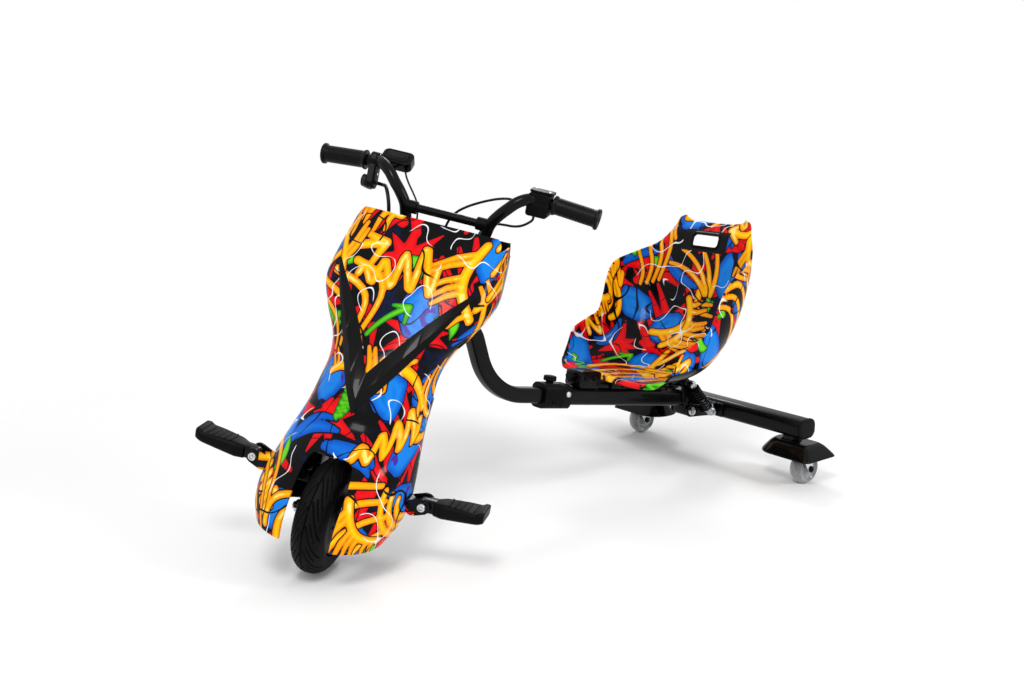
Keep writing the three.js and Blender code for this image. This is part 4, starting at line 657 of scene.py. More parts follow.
def makeAxle():
    def acrossHub(low, high, radius, count):
        return rod(hub + Vector((low, 0, 0)), hub + Vector((high, 0, 0)), radius, count)

    bar = acrossHub(-axle["end"], axle["end"], axle["radius"], 32)
    threads = [
        turned([(radius, axle["nut"][1] + axle["pitch"] * k + out) for radius, out in axle["thread"]],
               (side, 0, 0), hub, 28)
        for side in (-1, 1) for k in range(axle["threads"])]
    piece("axleBar", merged(bar, *threads), "zinc", front, "front_unit", nodes=["wheel_axle"])
    rounds = [acrossHub(side * low, side * high, radius, count)
              for low, high, radius, count in (axle["nut"], axle["washer"]) for side in (-1, 1)]
    piece("axleNuts", merged(*rounds), "zinc", front, "front_unit", bevel=0.8)


makeFork()
makeAxle()
print("front wheel made")


# Cowl: sections by height, as in the source
# Each row: height, toe, widest place, back, half width, front and rear roundness
cowl = {
    "high": 572, "low": 92, "half": 157, "reach": 540, "middle": 162, "wall": 3.5,
    "topEdge": (0, 302, 560), "topLean": 15, "splitFoot": (0, 10, 92), "splitLean": 37.3,
    "rows": [
        (0, 0.005, 0.18, 0.31, 0.7, 2.3, 2.2), (0.05, 0.013, 0.215, 0.35, 0.78, 2.3, 2.2),
        (0.11, 0.036, 0.262, 0.4, 0.815, 2.3, 2.2), (0.175, 0.076, 0.315, 0.455, 0.78, 2.2, 2.2),
        (0.255, 0.137, 0.376, 0.52, 0.72, 2.1, 2.2), (0.325, 0.245, 0.43, 0.575, 0.675, 2, 2.2),
        (0.395, 0.292, 0.487, 0.62, 0.655, 1.95, 2.2), (0.48, 0.341, 0.54, 0.67, 0.635, 1.95, 2.2),
        (0.555, 0.4, 0.585, 0.755, 0.7, 2.1, 2.3), (0.635, 0.468, 0.625, 0.835, 0.86, 2.5, 2.5),
        (0.72, 0.533, 0.675, 0.905, 0.985, 3, 2.8), (0.805, 0.594, 0.73, 0.96, 0.975, 3.1, 3),
        (0.89, 0.668, 0.785, 0.99, 0.935, 3.1, 3.1), (1, 0.775, 0.84, 1, 0.865, 3, 3.2),
    ],
}


def cowlSection(z, inset=0):
    share = smoothTable(cowl["rows"], (z - cowl["low"]) / (cowl["high"] - cowl["low"]))
    toe, widest, back = (cowl["middle"] + (value - 0.5) * cowl["reach"] for value in share[1:4])
    return {"front": toe + inset, "widest": widest, "back": back - inset,
            "half": share[4] * cowl["half"] - inset,
            "powers": (share[5], share[6])}


def cowlRing(z, around):
    section = cowlSection(z)
    ring = []
    for c, s in circle(1, 360):
        power = 2 / (section["powers"][0] if s < 0 else section["powers"][1])
        depth = section["widest"] - section["front"] if s < 0 else section["back"] - section["widest"]
        ring.append((math.copysign(section["half"] * abs(c) ** power, c),
                     section["widest"] + math.copysign(depth * abs(s) ** power, s), z))
    points = np.array(ring + ring[:1])
    lengths = np.concatenate([[0], np.cumsum(np.linalg.norm(np.diff(points, axis=0), axis=1))])
    wanted = np.linspace(0, lengths[-1], around, endpoint=False)
    return [tuple(np.interp(w, lengths, points[:, k]) for k in range(3)) for w in wanted]


def cowlSolid(rows, around):
    height = cowl["high"] - cowl["low"]
    return loft([cowlRing(cowl["low"] + height * i / rows, around) for i in range(rows + 1)])


# What is cut from the cowl
def slab(point, lean, side, size=1600):
    box = shifted(block(size, size, size), 0, 0, side * size / 2)
    return placed(box, Matrix.Translation(point) @ Matrix.Rotation(lean, 4, "X"))


def bezier(first, pull, push, last, steps=14):
    curve = []
    for i in range(1, steps + 1):
        t = i / steps
        u = 1 - t
        curve.append(tuple(u ** 3 * a + 3 * u * u * t * b + 3 * u * t * t * c + t ** 3 * d
                           for a, b, c, d in zip(first, pull, push, last)))
    return curve


# The wheel arch reaches nearer to the tyre on one side, as the photograph shows it
arch = {"low": 60, "foot": 47, "half": 51, "top": 22, "shoulder": 200, "high": 221, "nearFoot": 38,
        "nearHalf": 42}


def archTool():
    low, foot, half, top, shoulder, high, nearFoot, nearHalf = arch.values()
    outline = [(-nearFoot, low), (foot, low)]
    outline += bezier((foot, low), (half, shoulder), (half, high), (top, high))
    outline += [(-top, high)]
    outline += bezier((-top, high), (-nearHalf, high), (-nearHalf, shoulder), (-nearFoot, low))[:-1]
    return prism(outline, -300, 0, "Y")


corners = {"x": 138, "z": 562, "face": 24, "rear": 44, "deep": 600}


def cornerTools(radius):
    x, z = corners["x"], corners["z"]
    tools = []
    for side in (-1, 1):
        outline = [(side * (x + 60), z - radius)]
        outline += [(side * (x - radius) + side * radius * math.cos(a), z - radius + radius * math.sin(a))
                    for a in np.linspace(0, math.pi / 2, 15)]
        outline += [(side * (x - radius), z + 90), (side * (x + 60), z + 90)]
        tools.append(prism(outline, 0, corners["deep"], "Y"))
    return tools


def uprightHoles():
    return [rod((side * 75, 400, 498), (side * 90, 400, 580), 13.5) for side in (-1, 1)]


def leadHoles():
    spots = [(-106, 378, 4.8), (-61, 414, 3.0), (64, 414, 3.6), (-2, 415, 3.6)]
    return [rod((x, y, 500), (x, y, 600), radius, 20) for x, y, radius in spots]


# The print's motifs: strokes with a radius at each point, about one unit across
def wave(rng):
    bends = rng.choice((3, 4, 5))
    tall = rng.uniform(0.16, 0.24)
    steps = [i / 30 for i in range(31)]
    return [[(-0.5 + t, tall * (0.3 + 1.1 * t) * math.sin(bends * fullTurn * t) + 0.1 * t, 1) for t in steps]]


def fan(rng):
    curl = rng.uniform(0.4, 0.8)
    return [[(-0.45 + r * math.cos(a + curl * r), -0.4 + r * math.sin(a + curl * r), 1.15 - 0.45 * r)
             for r in np.linspace(0.12, 1, 14)] for a in (-0.2, 0.15, 0.5, 0.85)]


def arrow(rng):
    bend = rng.uniform(-0.5, 0.5)
    shaft = [(-0.5 + i / 14, bend * (i / 14) * (1 - i / 14), 0.9 + 0.4 * (i / 14)) for i in range(15)]
    return [shaft, [(0.26, 0.24, 0.7), (0.52, 0, 1.3), (0.26, -0.24, 0.7)]]


def rainbow(rng):
    lean = rng.uniform(0.7, 1.0)
    return [[(r * math.cos(a), lean * r * math.sin(a) - 0.2, 0.95) for a in np.linspace(0.1, math.pi - 0.1, 18)]
            for r in (0.2, 0.36, 0.52)]


def swoosh(rng):
    wide = rng.uniform(0.3, 0.55)
    return [[(-0.5 + i / 20, wide * (i / 20) ** 2 - 0.2, 0.35 + 1.2 * (i / 20) * (1.15 - i / 20) * 2)
             for i in range(21)],
            [(-0.4 + 0.8 * i / 16, -0.32 + wide * (i / 16) ** 2, 0.4 + 0.7 * (i / 16)) for i in range(17)]]


def flash(rng):
    return [[(-0.2, 0.5, 0.6), (-0.32, 0.06, 1.1), (0.06, 0.12, 1.2), (-0.08, -0.2, 1.1), (0.14, -0.16, 1.0),
             (0.1, -0.55, 0.2)]]


def burst(rng):
    rays = rng.choice((7, 8, 9))
    strokes = [[(0, 0, 2.6), (0.04, 0.02, 2.4)]]
    for k in range(rays):
        angle = fullTurn * k / rays + rng.uniform(-0.15, 0.15)
        reach = rng.uniform(0.38, 0.6)
        strokes.append([(r * math.cos(angle), r * math.sin(angle), wide)
                        for r, wide in ((0.08, 2.0), (reach, 0.15))])
    return strokes


def slabs(rng):
    return [[(-0.45 + 0.2 * k, -0.4 + 0.08 * k, 1.5), (-0.25 + 0.24 * k, 0.42 - 0.05 * k, 0.5)]
            for k in range(4)]


def cloud(rng):
    return [[(0.3 * math.cos(a) + rng.uniform(-0.05, 0.05), 0.2 * math.sin(a), rng.uniform(2.0, 3.0))
             for a in np.linspace(0, fullTurn, 8)], [(-0.15, 0, 2.8), (0.15, 0, 2.8)]]


def leaf(rng):
    return [[(-0.4 + 0.8 * i / 10, 0.25 * math.sin(math.pi * i / 10), 0.2 + 2.2 * math.sin(math.pi * i / 10))
             for i in range(11)]]


def comb(rng):
    spine = [(-0.5 + 0.1 * k, 0.42 - 0.3 * math.sin(math.pi * (0.1 + 0.08 * k)), 1.15) for k in range(11)]
    teeth = []
    for k in range(7):
        x, y, _ = spine[1 + round(k * 1.35)]
        reach = 0.56 - 0.055 * k + rng.uniform(-0.05, 0.05)
        teeth.append([(x, y, 0.85), (x + 0.05, y - reach * 0.5, 0.72), (x + 0.16, y - reach, 0.5)])
    return [spine] + teeth


def ribbons(rng):
    bow = rng.uniform(0.25, 0.5)
    return [[(-0.55 + 0.11 * k, y + bow * math.sin(math.pi * k / 10 + y), 1.1 - 0.05 * k) for k in range(11)]
            for y in (-0.52, -0.24, 0.04, 0.32)]


# The print's layers, from the back: sizes and strokes in millimetres on the unwrapped shell
layers = {
    "red": {"cell": 104, "fill": 0.86, "size": (105, 140), "stroke": (6, 8),
            "kinds": (burst, slabs, comb, flash)},
    "blue": {"cell": 116, "fill": 0.74, "size": (88, 120), "stroke": (6.5, 9), "kinds": (cloud, cloud, swoosh)},
    "green": {"cell": 122, "fill": 0.56, "size": (52, 82), "stroke": (4.5, 6),
              "kinds": (leaf, arrow, leaf, wave)},
    "yellowBack": {"cell": 104, "fill": 0.42, "size": (110, 150), "stroke": (6.6, 8),
                   "kinds": (comb, wave, rainbow, ribbons, arrow, comb)},
    "yellowFront": {"cell": 126, "fill": 0.44, "size": (100, 140), "stroke": (6.2, 7.6),
                    "kinds": (ribbons, comb, fan, wave, arrow, flash)},
}
crystals = {"count": 14, "size": 70, "stroke": 4.4, "radius": 0.22}
headings = (-0.5, 0.35, 1.1, 2.5, -1.2, 3.3)


def segmentsOf(spots):
    return list(zip(spots, spots[1:]))


def layout(seed, low, high, more=0.0):
    rng = random.Random(seed)
    found = {}
    for number, (name, rule) in enumerate(layers.items()):
        segments = []
        cell = rule["cell"]
        offset = (number * 0.37 % 1 * cell, number * 0.61 % 1 * cell)
        index = rng.randrange(10)
        for i in range(-1, int((high[0] - low[0]) / cell) + 2):
            for j in range(-1, int((high[1] - low[1]) / cell) + 2):
                if rng.random() > rule["fill"] + more:
                    continue
                index += rng.choice((1, 1, 2))
                strokes = rule["kinds"][index % len(rule["kinds"])](rng)
                centreX, centreY = (low[k] + step * cell + offset[k] + rng.uniform(-0.2, 0.2) * cell
                                    for k, step in enumerate((i, j)))
                size, stroke = rng.uniform(*rule["size"]), rng.uniform(*rule["stroke"])
                angle = rng.choice(headings) + rng.uniform(-0.25, 0.25)
                c, s = math.cos(angle) * size, math.sin(angle) * size
                for line in strokes:
                    segments += segmentsOf([(centreX + c * x - s * y, centreY + s * x + c * y, stroke * r)
                                            for x, y, r in line])
        found[name] = np.array(segments, dtype=float)
    segments = []
    for _ in range(crystals["count"]):
        centreX, centreY = (rng.uniform(low[k], high[k]) for k in (0, 1))
        ring = [(crystals["radius"] * math.cos(a) + 0.02, crystals["radius"] * math.sin(a))
                for a in np.linspace(0.4, 5.2, 6)]
        segments += segmentsOf([(centreX + crystals["size"] * x, centreY + crystals["size"] * y,
                                 crystals["stroke"])
                                for x, y in ring])
    found["purple"] = np.array(segments, dtype=float)
    return found


def strokeDistance(places, segments, atOnce=60):
    first, last = segments[:, 0], segments[:, 1]
    span = last[:, :2] - first[:, :2]
    length = np.maximum((span ** 2).sum(1), 1e-9)
    best = np.full(len(places), 1e6)
    for start in range(0, len(segments), atOnce):
        part = slice(start, start + atOnce)
        offset = places[:, None, :] - first[None, part, :2]
        t = np.clip((offset * span[None, part]).sum(2) / length[None, part], 0, 1)
        radius = first[None, part, 2] + t * (last[None, part, 2] - first[None, part, 2])
        reach = np.hypot(*np.moveaxis(offset - t[:, :, None] * span[None, part], 2, 0)) - radius
        best = np.minimum(best, reach.min(1))
    return best


# places: each vertex on the unwrapped shell; bare: signed distance to where the print stops
def addPrint(obj, places, bare, strokes):
    values = {name: strokeDistance(places, segments) for name, segments in strokes.items()}
    for name, distances in {**values, "bare": bare}.items():
        attribute = obj.data.attributes.new(name, "FLOAT", "POINT")
        attribute.data.foreach_set("value", distances.astype(np.float32))


def localPoints(obj, matrix):
    count = len(obj.data.vertices)
    flat = np.zeros(count * 3)
    obj.data.vertices.foreach_get("co", flat)
    points = np.c_[flat.reshape(-1, 3), np.ones(count)]
    return (points @ np.array(matrix.inverted()).T)[:, :3]


# A thin shell from a solid: cut it, drop every face that isn't its outer skin, thicken inwards
def shellPiece(name, solid, tools, finish, nodes, printed=None):
    obj = linked(name, meshOf(name, solid, front))
    for key in (finish, "matt"):
        obj.data.materials.append(finishes[key])
    for face in obj.data.polygons:  # the two caps come last
        face.material_index = 1 if face.index >= len(solid[1]) - 2 else 0
    carve(obj, front, *tools)
    work = bmesh.new()
    work.from_mesh(obj.data)
    bmesh.ops.delete(work, geom=[face for face in work.faces if face.material_index == 1], context="FACES")
    bmesh.ops.remove_doubles(work, verts=work.verts, dist=0.02 * metre)
    work.to_mesh(obj.data)
    work.free()
    if printed:
        addPrint(obj, *printed(localPoints(obj, front)))
    applied(obj, "SOLIDIFY", thickness=cowl["wall"] * metre, offset=-1, use_even_offset=True, material_offset=1,
            material_offset_rim=0)
    smoothShade(obj, 40)
    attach(obj, "front_unit")
    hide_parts(*nodes)


cowlPrint = {"seed": 11, "low": (-340, 90), "high": (340, 720), "wrap": 0.82, "rise": 1.22, "nose": 12}
unprinted = 50.0  # farther than any edge of the print


def cowlPlaces(points):
    x, y, z = points.T
    levels = np.linspace(cowl["low"], cowl["high"], 60)
    fronts = np.interp(z, levels, [cowlSection(level)["front"] for level in levels])
    u = x + np.sign(x) * np.maximum(y - fronts - cowlPrint["nose"], 0) * cowlPrint["wrap"]
    strokes = layout(cowlPrint["seed"], cowlPrint["low"], cowlPrint["high"])
    return np.c_[u, z * cowlPrint["rise"]], np.full(len(points), unprinted), strokes


def makeCowl():
    topEdge, splitFoot = Vector(cowl["topEdge"]), Vector(cowl["splitFoot"])
    topLean, splitLean = -math.radians(cowl["topLean"]), math.pi / 2 - math.radians(cowl["splitLean"])
    top, window = slab(topEdge, topLean, 1), shifted(block(900, 34, 26), 0, 34, 150)
    faceTools = [top, window, archTool(), *cornerTools(corners["face"]), *uprightHoles(),
                 slab(splitFoot, splitLean, -1)]
    dense = cowlSolid(170, 260)
    shellPiece("cowlFace", dense, faceTools, "print", ["cowl_front"], cowlPlaces)
    plain = cowlSolid(60, 120)
    back = slab(splitFoot + Vector((0, 0.6, 0)), splitLean, 1)
    upperTools = [back, top, *cornerTools(corners["rear"]), slab(onAxis(500), -rake, -1), *uprightHoles(),
                  *leadHoles()]
    shellPiece("cowlBackUpper", plain, upperTools, "gloss", ["cowl_rear_upper"])
    rearArch = [crossRod((hub.y, hub.z), 48, 128, 64), shifted(block(96, 256, 400), 0, 0, hub.z - 200)]
    lowerTools = [back, window, slab(onAxis(322), -rake, 1), *rearArch]
    shellPiece("cowlBackLower", plain, lowerTools, "gloss", ["cowl_rear_lower"])


# A place on the cowl's front, so far proud of it
def cowlFace(x, z, proud):
    section = cowlSection(z, -proud)
    depth = section["widest"] - section["front"]
    power = section["powers"][0]
    across = min(abs(x) / section["half"], 1) ** power
    return (x, section["widest"] - depth * (1 - across) ** (1 / power), z)


trim = {"rows": 26, "low": 272, "notch": 333, "tipX": 129, "tipLow": 470, "tipHigh": 477, "proud": 9,
        "edge": 1.6, "sunk": 2.6, "ridge": 0.42, "fuller": 9}


def makeTrim():
    rings = []
    for i in range(-trim["rows"], trim["rows"] + 1):
        t = abs(i) / trim["rows"]
        x = trim["tipX"] * i / trim["rows"]
        full = trim["fuller"] * math.sin(math.pi * t)
        low = trim["low"] + (trim["tipLow"] - trim["low"]) * t - full
        high = trim["notch"] + (trim["tipHigh"] - trim["notch"]) * t + full
        ridge = low + (high - low) * trim["ridge"]
        proud = trim["proud"] - (trim["proud"] - 2 * trim["edge"]) * t
        rings.append([cowlFace(x, z, out) for z, out in (
            (low, -trim["sunk"]), (low, trim["edge"]), (ridge, proud), (high, trim["edge"]),
            (high, -trim["sunk"]))])
    piece("cowlVee", loft(rings), "gloss", front, "front_unit", bevel=0.5, nodes=["cowl_trim"], angle=16)


makeCowl()
makeTrim()
print("cowl made")


# Handlebar: places on it are shares of its half width, depth and height
bar = {
    "radius": 11, "half": 276, "back": 440, "high": 608, "brace": 8, "braceHigh": 0.9145,
    "root": (0, 0.891, 0.819),
    "shares": [
        (0.138, 0.891, 0.819), (0.21, 0.895, 0.8257), (0.2717, 0.909, 0.852), (0.2917, 0.909, 0.8865),
        (0.3116, 0.909, 0.921), (0.355, 0.909, 0.9515), (0.4094, 0.9114, 0.98), (0.4601, 0.9227, 1.0033),
        (0.518, 0.943, 1.018), (0.5725, 0.9727, 1.0214), (0.6232, 0.993, 1.0148), (0.6812, 1, 1.0115),
        (0.7195, 1, 1.01), (1, 1, 1)],
    "collar": [(0.1, 0), (11.2, 0), (12.5, 1.3), (12.5, 20), (11.2, 21.5), (8.2, 21.8)],
}


def onBar(share):
    return Vector((share[0] * bar["half"], share[1] * bar["back"], share[2] * bar["high"]))


def mirrored(point):
    return Vector((-point[0], point[1], point[2]))


barHalf = [onBar(share) for share in bar["shares"]]
barRoot = onBar(bar["root"])


def makeBar():
    line = [mirrored(p) for p in reversed(barHalf)] + [barRoot] + barHalf
    low, high = barHalf[2], barHalf[4]
    braceZ = bar["braceHigh"] * bar["high"]
    braceX = low.x + (high.x - low.x) * (braceZ - low.z) / (high.z - low.z)
    end = Vector((braceX, low.y, braceZ))
    brace = rod(mirrored(end), end, bar["brace"], 28)
    collars = [turned(bar["collar"], (-side, 0, 0), (side * (braceX - 4), low.y, braceZ), 40)
               for side in (-1, 1)]
    tubes = merged(tube(line, bar["radius"], 32, 260), brace)
    piece("barTube", tubes, "paint", front, "front_unit", nodes=["handlebar"])
    piece("braceCollars", merged(*collars), "matt", front, "front_unit")


# Profiles of (radius, place from the near end) or, at the tip, (radius, place before the far end)
grip = {
    "over": 2.3, "first": 10.0, "last": 13, "pitch": 5.2, "high": 16.5, "low": 16.1,
    "near": [(11.6, 0), (17.6, 0), (19, 1.2), (19, 3.6), (17.4, 6.4), (16.4, 8.4)],
    "tip": [(16.5, 11), (16.7, 8), (19.2, 6.2), (20, 5.2), (20, 1.6), (18.6, 0.2), (15, 0), (7, 0.3),
            (5.6, 2.2), (0.05, 2.4)],
}


def makeGrips():
    for word, flip in (("Left", Vector), ("Right", mirrored)):
        inner, outer = flip(barHalf[11]), flip(barHalf[13])
        along = (outer - inner).normalized()
        length = (outer - inner).length + grip["over"]
        profile = list(grip["near"])
        place = grip["first"]
        while place < length - grip["last"]:
            profile += [(grip["high"], place), (grip["high"], place + 3.6), (grip["low"], place + 4),
                        (grip["low"], place + 4.8)]
            place += grip["pitch"]
        profile += [(radius, length - before) for radius, before in grip["tip"]]
        piece("grip" + word, turned(profile, along, inner, 72), "rubber", front, "front_unit",
              nodes=["grip_" + word.lower()], angle=24)


throttle = {
    "place": (-0.6123, 0.9886, 1.0164), "half": 8, "band": 17, "web": 13, "barrel": 12.5,
    "barrelPlace": (-4, -41),
    "lever": 11, "reach": 30, "drop": -14, "tip": 8, "strip": (11, 52, 3), "stripThick": 3.2,
    "stripPlace": (0, -17.4, -12),
    "stripLean": -5, "screws": ((0, 14), (-3, -24)), "ring": [(12.2, 0), (13.4, 0.6), (13.4, 3.2), (12.2, 3.8)],
    "rib": 0.9, "ribs": 4, "ribStart": (14, 5.9), "ribStep": (4.4, -1.95),
}


def makeThrottle():
    at = onBar(throttle["place"])
    barrel = (at.y + throttle["barrelPlace"][0], at.z + throttle["barrelPlace"][1])
    half = throttle["half"]
    band = rod((at.x - half, at.y, at.z), (at.x + half, at.y, at.z), throttle["band"], 56)
    web = prism(strap((at.y, at.z), barrel, throttle["web"], throttle["barrel"], 20), -half, half, "X")
    piece("throttleClamp", merged(band, shifted(web, at.x, 0, 0)), "matt", front, "front_unit", bevel=1.2,
          nodes=["throttle_clamp"], segments=3)
    strip = prism(roundedRect(*throttle["strip"]), 0, throttle["stripThick"], "Y")
    stripPlace = Matrix.Translation(at + Vector(throttle["stripPlace"]))
    stripPlace = stripPlace @ Matrix.Rotation(math.radians(throttle["stripLean"]), 4, "X")
    piece("throttleStrip", placed(strip, stripPlace), "dark", front, "front_unit", bevel=1.0)
    screws = [rod(at + Vector((half, y, z)), at + Vector((half + 1.6, y, z)), 2.6, 20)
              for y, z in throttle["screws"]]
    piece("throttleScrews", merged(*screws), "zinc", front, "front_unit", bevel=0.3)
    ring = turned(throttle["ring"], (1, 0, 0), (at.x - half - 0.2, *barrel), 56, closed=True)
    piece("barrelRing", ring, "gloss", front, "front_unit")
    near = at.x - half - 0.3
    far = near - throttle["lever"]
    tip = (barrel[0] + throttle["reach"], barrel[1] + throttle["drop"])
    lever = prism(strap(barrel, tip, throttle["barrel"] - 0.4, throttle["tip"], 20), far, near - 0.4, "X")
    piece("throttlePaddle", lever, "dark", front, "throttle_lever", bevel=2.4, nodes=["throttle_lever"],
          segments=4)
    ribs = []
    for k in range(throttle["ribs"]):
        y, z = (barrel[n] + throttle["ribStart"][n] + throttle["ribStep"][n] * k for n in (0, 1))
        ribs.append(rod((far + 1.5, y, z), (near - 2, y, z), throttle["rib"], 12))
    piece("paddleRibs", merged(*ribs), "dark", front, "throttle_lever")


display = {
    "place": (-0.4638, 1.009, 1.0313), "tilt": 32, "body": (62, 36, 11, 12), "thick": 22,
    "lens": (44, 22, 5, 8),
    "bezel": ((49, 27, 7.5, -0.4), (49, 27, 7.5, 0.8), (45, 23, 5.5, 0.8), (44, 22, 5, 0.2)),
    "bars": 5, "bar": (3.4, 2.2, 0.6, 3), "barStart": -9, "barStep": 4.6,
}


def makeDisplay():
    place = Matrix.Translation(onBar(display["place"])) @ Matrix.Rotation(math.radians(display["tilt"]), 4, "X")
    half = display["thick"] / 2
    body = prism(roundedRect(*display["body"]), -half, half)
    piece("displayCase", placed(body, place), "gloss", front, "front_unit", bevel=2.6,
          nodes=["display_housing"], segments=4)
    lens = prism(roundedRect(*display["lens"]), half - 0.5, half + 0.5)
    piece("displayLens", placed(lens, place), "gloss", front, "front_unit", bevel=0.4)
    bezel = loft([[(x, y, half + proud) for x, y in roundedRect(wide, deep, corner, 8)]
                  for wide, deep, corner, proud in display["bezel"]], caps=False)
    piece("displayBezel", placed(bezel, place), "matt", front, "front_unit")
    oneBar = prism(roundedRect(*display["bar"]), half + 0.45, half + 0.62)
    bars = [shifted(oneBar, display["barStart"] + display["barStep"] * k, 0, 0) for k in range(display["bars"])]
    piece("displayBars", placed(merged(*bars), place), "dark", front, "front_unit")


switchBox = {
    "place": (0.594, 0.9818, 1.0066), "body": (42, 44, 6, 8), "deep": 19, "lid": (46, 30, 6, 8),
    "lidPlace": (21.7, 26.7),
    "seam": (43, 1.4, 0.6, 3), "buttons": (10, 19, -13), "screws": ((-13, 7), (17, -7)),
    "cap": [(5.8, -3), (5.8, 1.6), (5.1, 2.4), (3.8, 2.2), (0.05, 1.7)],
    "ring": [(6.2, -0.5), (7.4, -0.5), (7.4, 0.5), (6.8, 0.9), (6.3, 0.5)],
    "screw": [(0.05, 1.6), (2.2, 1.6), (3, 1.1), (3.2, 0)],
}


def makeSwitches():
    at = onBar(switchBox["place"])
    deep = switchBox["deep"]
    body = shifted(prism(roundedRect(*switchBox["body"]), -deep, deep, "Y"), *at)
    lid = shifted(prism(roundedRect(*switchBox["lid"]), *switchBox["lidPlace"]), at.x + 2, at.y, at.z)
    piece("switchBody", merged(body, lid), "matt", front, "front_unit", bevel=1.4, nodes=["switch_block"],
          segments=3)
    seam = shifted(prism(roundedRect(*switchBox["seam"]), -deep - 0.4, deep + 0.4, "Y"), at.x, at.y, at.z + 2)
    piece("switchSeam", seam, "gloss", front, "front_unit")
    x, y, z = switchBox["buttons"]
    for name, node, side in (("hornCap", "horn_button", -1), ("speedCap", "speed_button", 1)):
        centre = at + Vector((side * x, y, z))
        piece(name, turned(switchBox["cap"], (0, 1, 0), centre, 40), "dark", front, node, nodes=[node])
        ring = turned(switchBox["ring"], (0, 1, 0), centre, 40, closed=True)
        piece(name + "Ring", ring, "gloss", front, "front_unit")
    screws = [turned(switchBox["screw"], (0, 0, 1), at + Vector((x, y, 26.6)), 24)
              for x, y in switchBox["screws"]]
    piece("switchScrews", merged(*screws), "zinc", front, "front_unit")


makeBar()
makeGrips()
makeThrottle()
makeDisplay()
makeSwitches()
print("handlebar made")


# Column, battery and controller under the cowl
column = {"foot": 371.3, "clamp": (357.6, 389, 18), "box": (40, 34, 7), "topHalf": 24, "top": 19,
          "bolt": (17, 23, 5)}


def makeColumn():
    low = onAxis(column["foot"])
    span = barRoot - low
    place = Matrix.Translation(low) @ Matrix.Rotation(math.atan2(span.z, span.y), 4, "X")
    box = placed(prism(roundedRect(*column["box"]), 0, span.length, "Y"), place)
    bottom, upper, radius = column["clamp"]
    clamp = rod(onAxis(bottom), onAxis(upper), radius, 48)
    top = crossRod((barRoot.y, barRoot.z), column["topHalf"], column["top"], 48)
    piece("columnTube", merged(box, clamp, top), "paint", front, "front_unit", bevel=1.0,
          nodes=["steering_column"])
    under, over, radius = column["bolt"]
    bolts = [rod(barRoot + Vector((side * 14, 0, under)), barRoot + Vector((side * 14, 0, over)), radius, 6)
             for side in (-1, 1)]
    piece("columnBolts", merged(*bolts), "zinc", front, "front_unit", bevel=0.5)


battery = {"place": (0, 251.5, 480.33), "levels": (452, 538.4), "case": (190, 72, 7, 6), "half": 18,
           "band": (14, 72.6, 7, 6), "bandHalf": 18.3, "bandX": 55}
controller = {"place": (78, 267.9, 431.63), "case": (70, 50, 26), "fin": (64, 2, 3), "fins": 8, "first": -21,
              "pitch": 6, "under": -14.2}


def makePack():
    low, high = (cowlSection(level, cowl["wall"])["front"] for level in battery["levels"])
    lean = math.atan2(battery["levels"][1] - battery["levels"][0], high - low)
    place = Matrix.Translation(battery["place"]) @ Matrix.Rotation(lean, 4, "X")
    cells = prism(roundedRect(*battery["case"]), -battery["half"], battery["half"])
    piece("batteryCase", placed(cells, place), "wrap", front, "front_unit", bevel=2.5, nodes=["battery"],
          segments=3)
    band = prism(roundedRect(*battery["band"]), -battery["bandHalf"], battery["bandHalf"])
    bands = merged(*(shifted(band, side * battery["bandX"], 0, 0) for side in (-1, 1)))
    piece("batteryBands", placed(bands, place), "matt", front, "front_unit", bevel=0.4)
    fins = [shifted(block(*controller["fin"]), 0, controller["first"] + controller["pitch"] * k,
                    controller["under"])
            for k in range(controller["fins"])]
    case = shifted(merged(block(*controller["case"]), *fins), *controller["place"])
    piece("controllerCase", case, "alloy", front, "front_unit", bevel=0.6, nodes=["motor_controller"])


makeColumn()
makePack()


# Foot pegs. Each row of shares: out along the peg, half depth, top, underside
peg = {
    "x": 154.5, "y": 34, "z": 157, "out": 262, "half": 25, "tall": 30, "arm": 150, "armFrom": 48.3, "gap": 10.3,
    "plate": 5, "foot": 138, "lug": 14, "root": 11, "pin": 4, "nut": 7.5, "grooves": 5,
    "groove": (3, 30, 1.2, 4),
    "shares": [(0.18, 0.58, 0.38, -0.42), (0.32, 0.8, 0.5, -0.4), (0.66, 0.94, 0.6, -0.16), (0.88, 1, 0.62, 0),
               (0.93, 1, 0.78, 0.03), (1, 0.9, 0.8, 0.14)],
    "head": [(0.05, 4.4), (2.3, 4.4), (2.6, 2.6), (4.2, 2.6), (4.6, 4.8), (6.6, 4.6), (7.4, 3.2), (7.5, 0)],
}
pegPrint = {"seed": 23, "low": (-220, 60), "high": (220, 260), "inner": 112, "outer": 143.5}


def pegPlaces(points):
    x, y, z = points.T
    bare = np.minimum(pegPrint["outer"] - np.abs(x), np.abs(x) - pegPrint["inner"])
    strokes = layout(pegPrint["seed"], pegPrint["low"], pegPrint["high"])
    return np.c_[x + y * 0.6, z * 1.2 + y * 0.5], bare, strokes


def pegPaddle(side):
    long = peg["out"] - peg["x"]
    first = peg["shares"][0][0]
    rings = []
    for i in range(26):
        out = first + (1 - first) * i / 25
        depth, top, under = (np.interp(out, [s[0] for s in peg["shares"]], [s[k] for s in peg["shares"]])
                             for k in (1, 2, 3))
        high, low = peg["z"] + top * peg["tall"], peg["z"] + under * peg["tall"]
        outline = roundedRect(depth * peg["half"] * 2, high - low, (high - low) / 3, 6)
        rings.append([(side * (peg["x"] + out * long), peg["y"] + y, z + (high + low) / 2) for y, z in outline])
    return loft(rings)


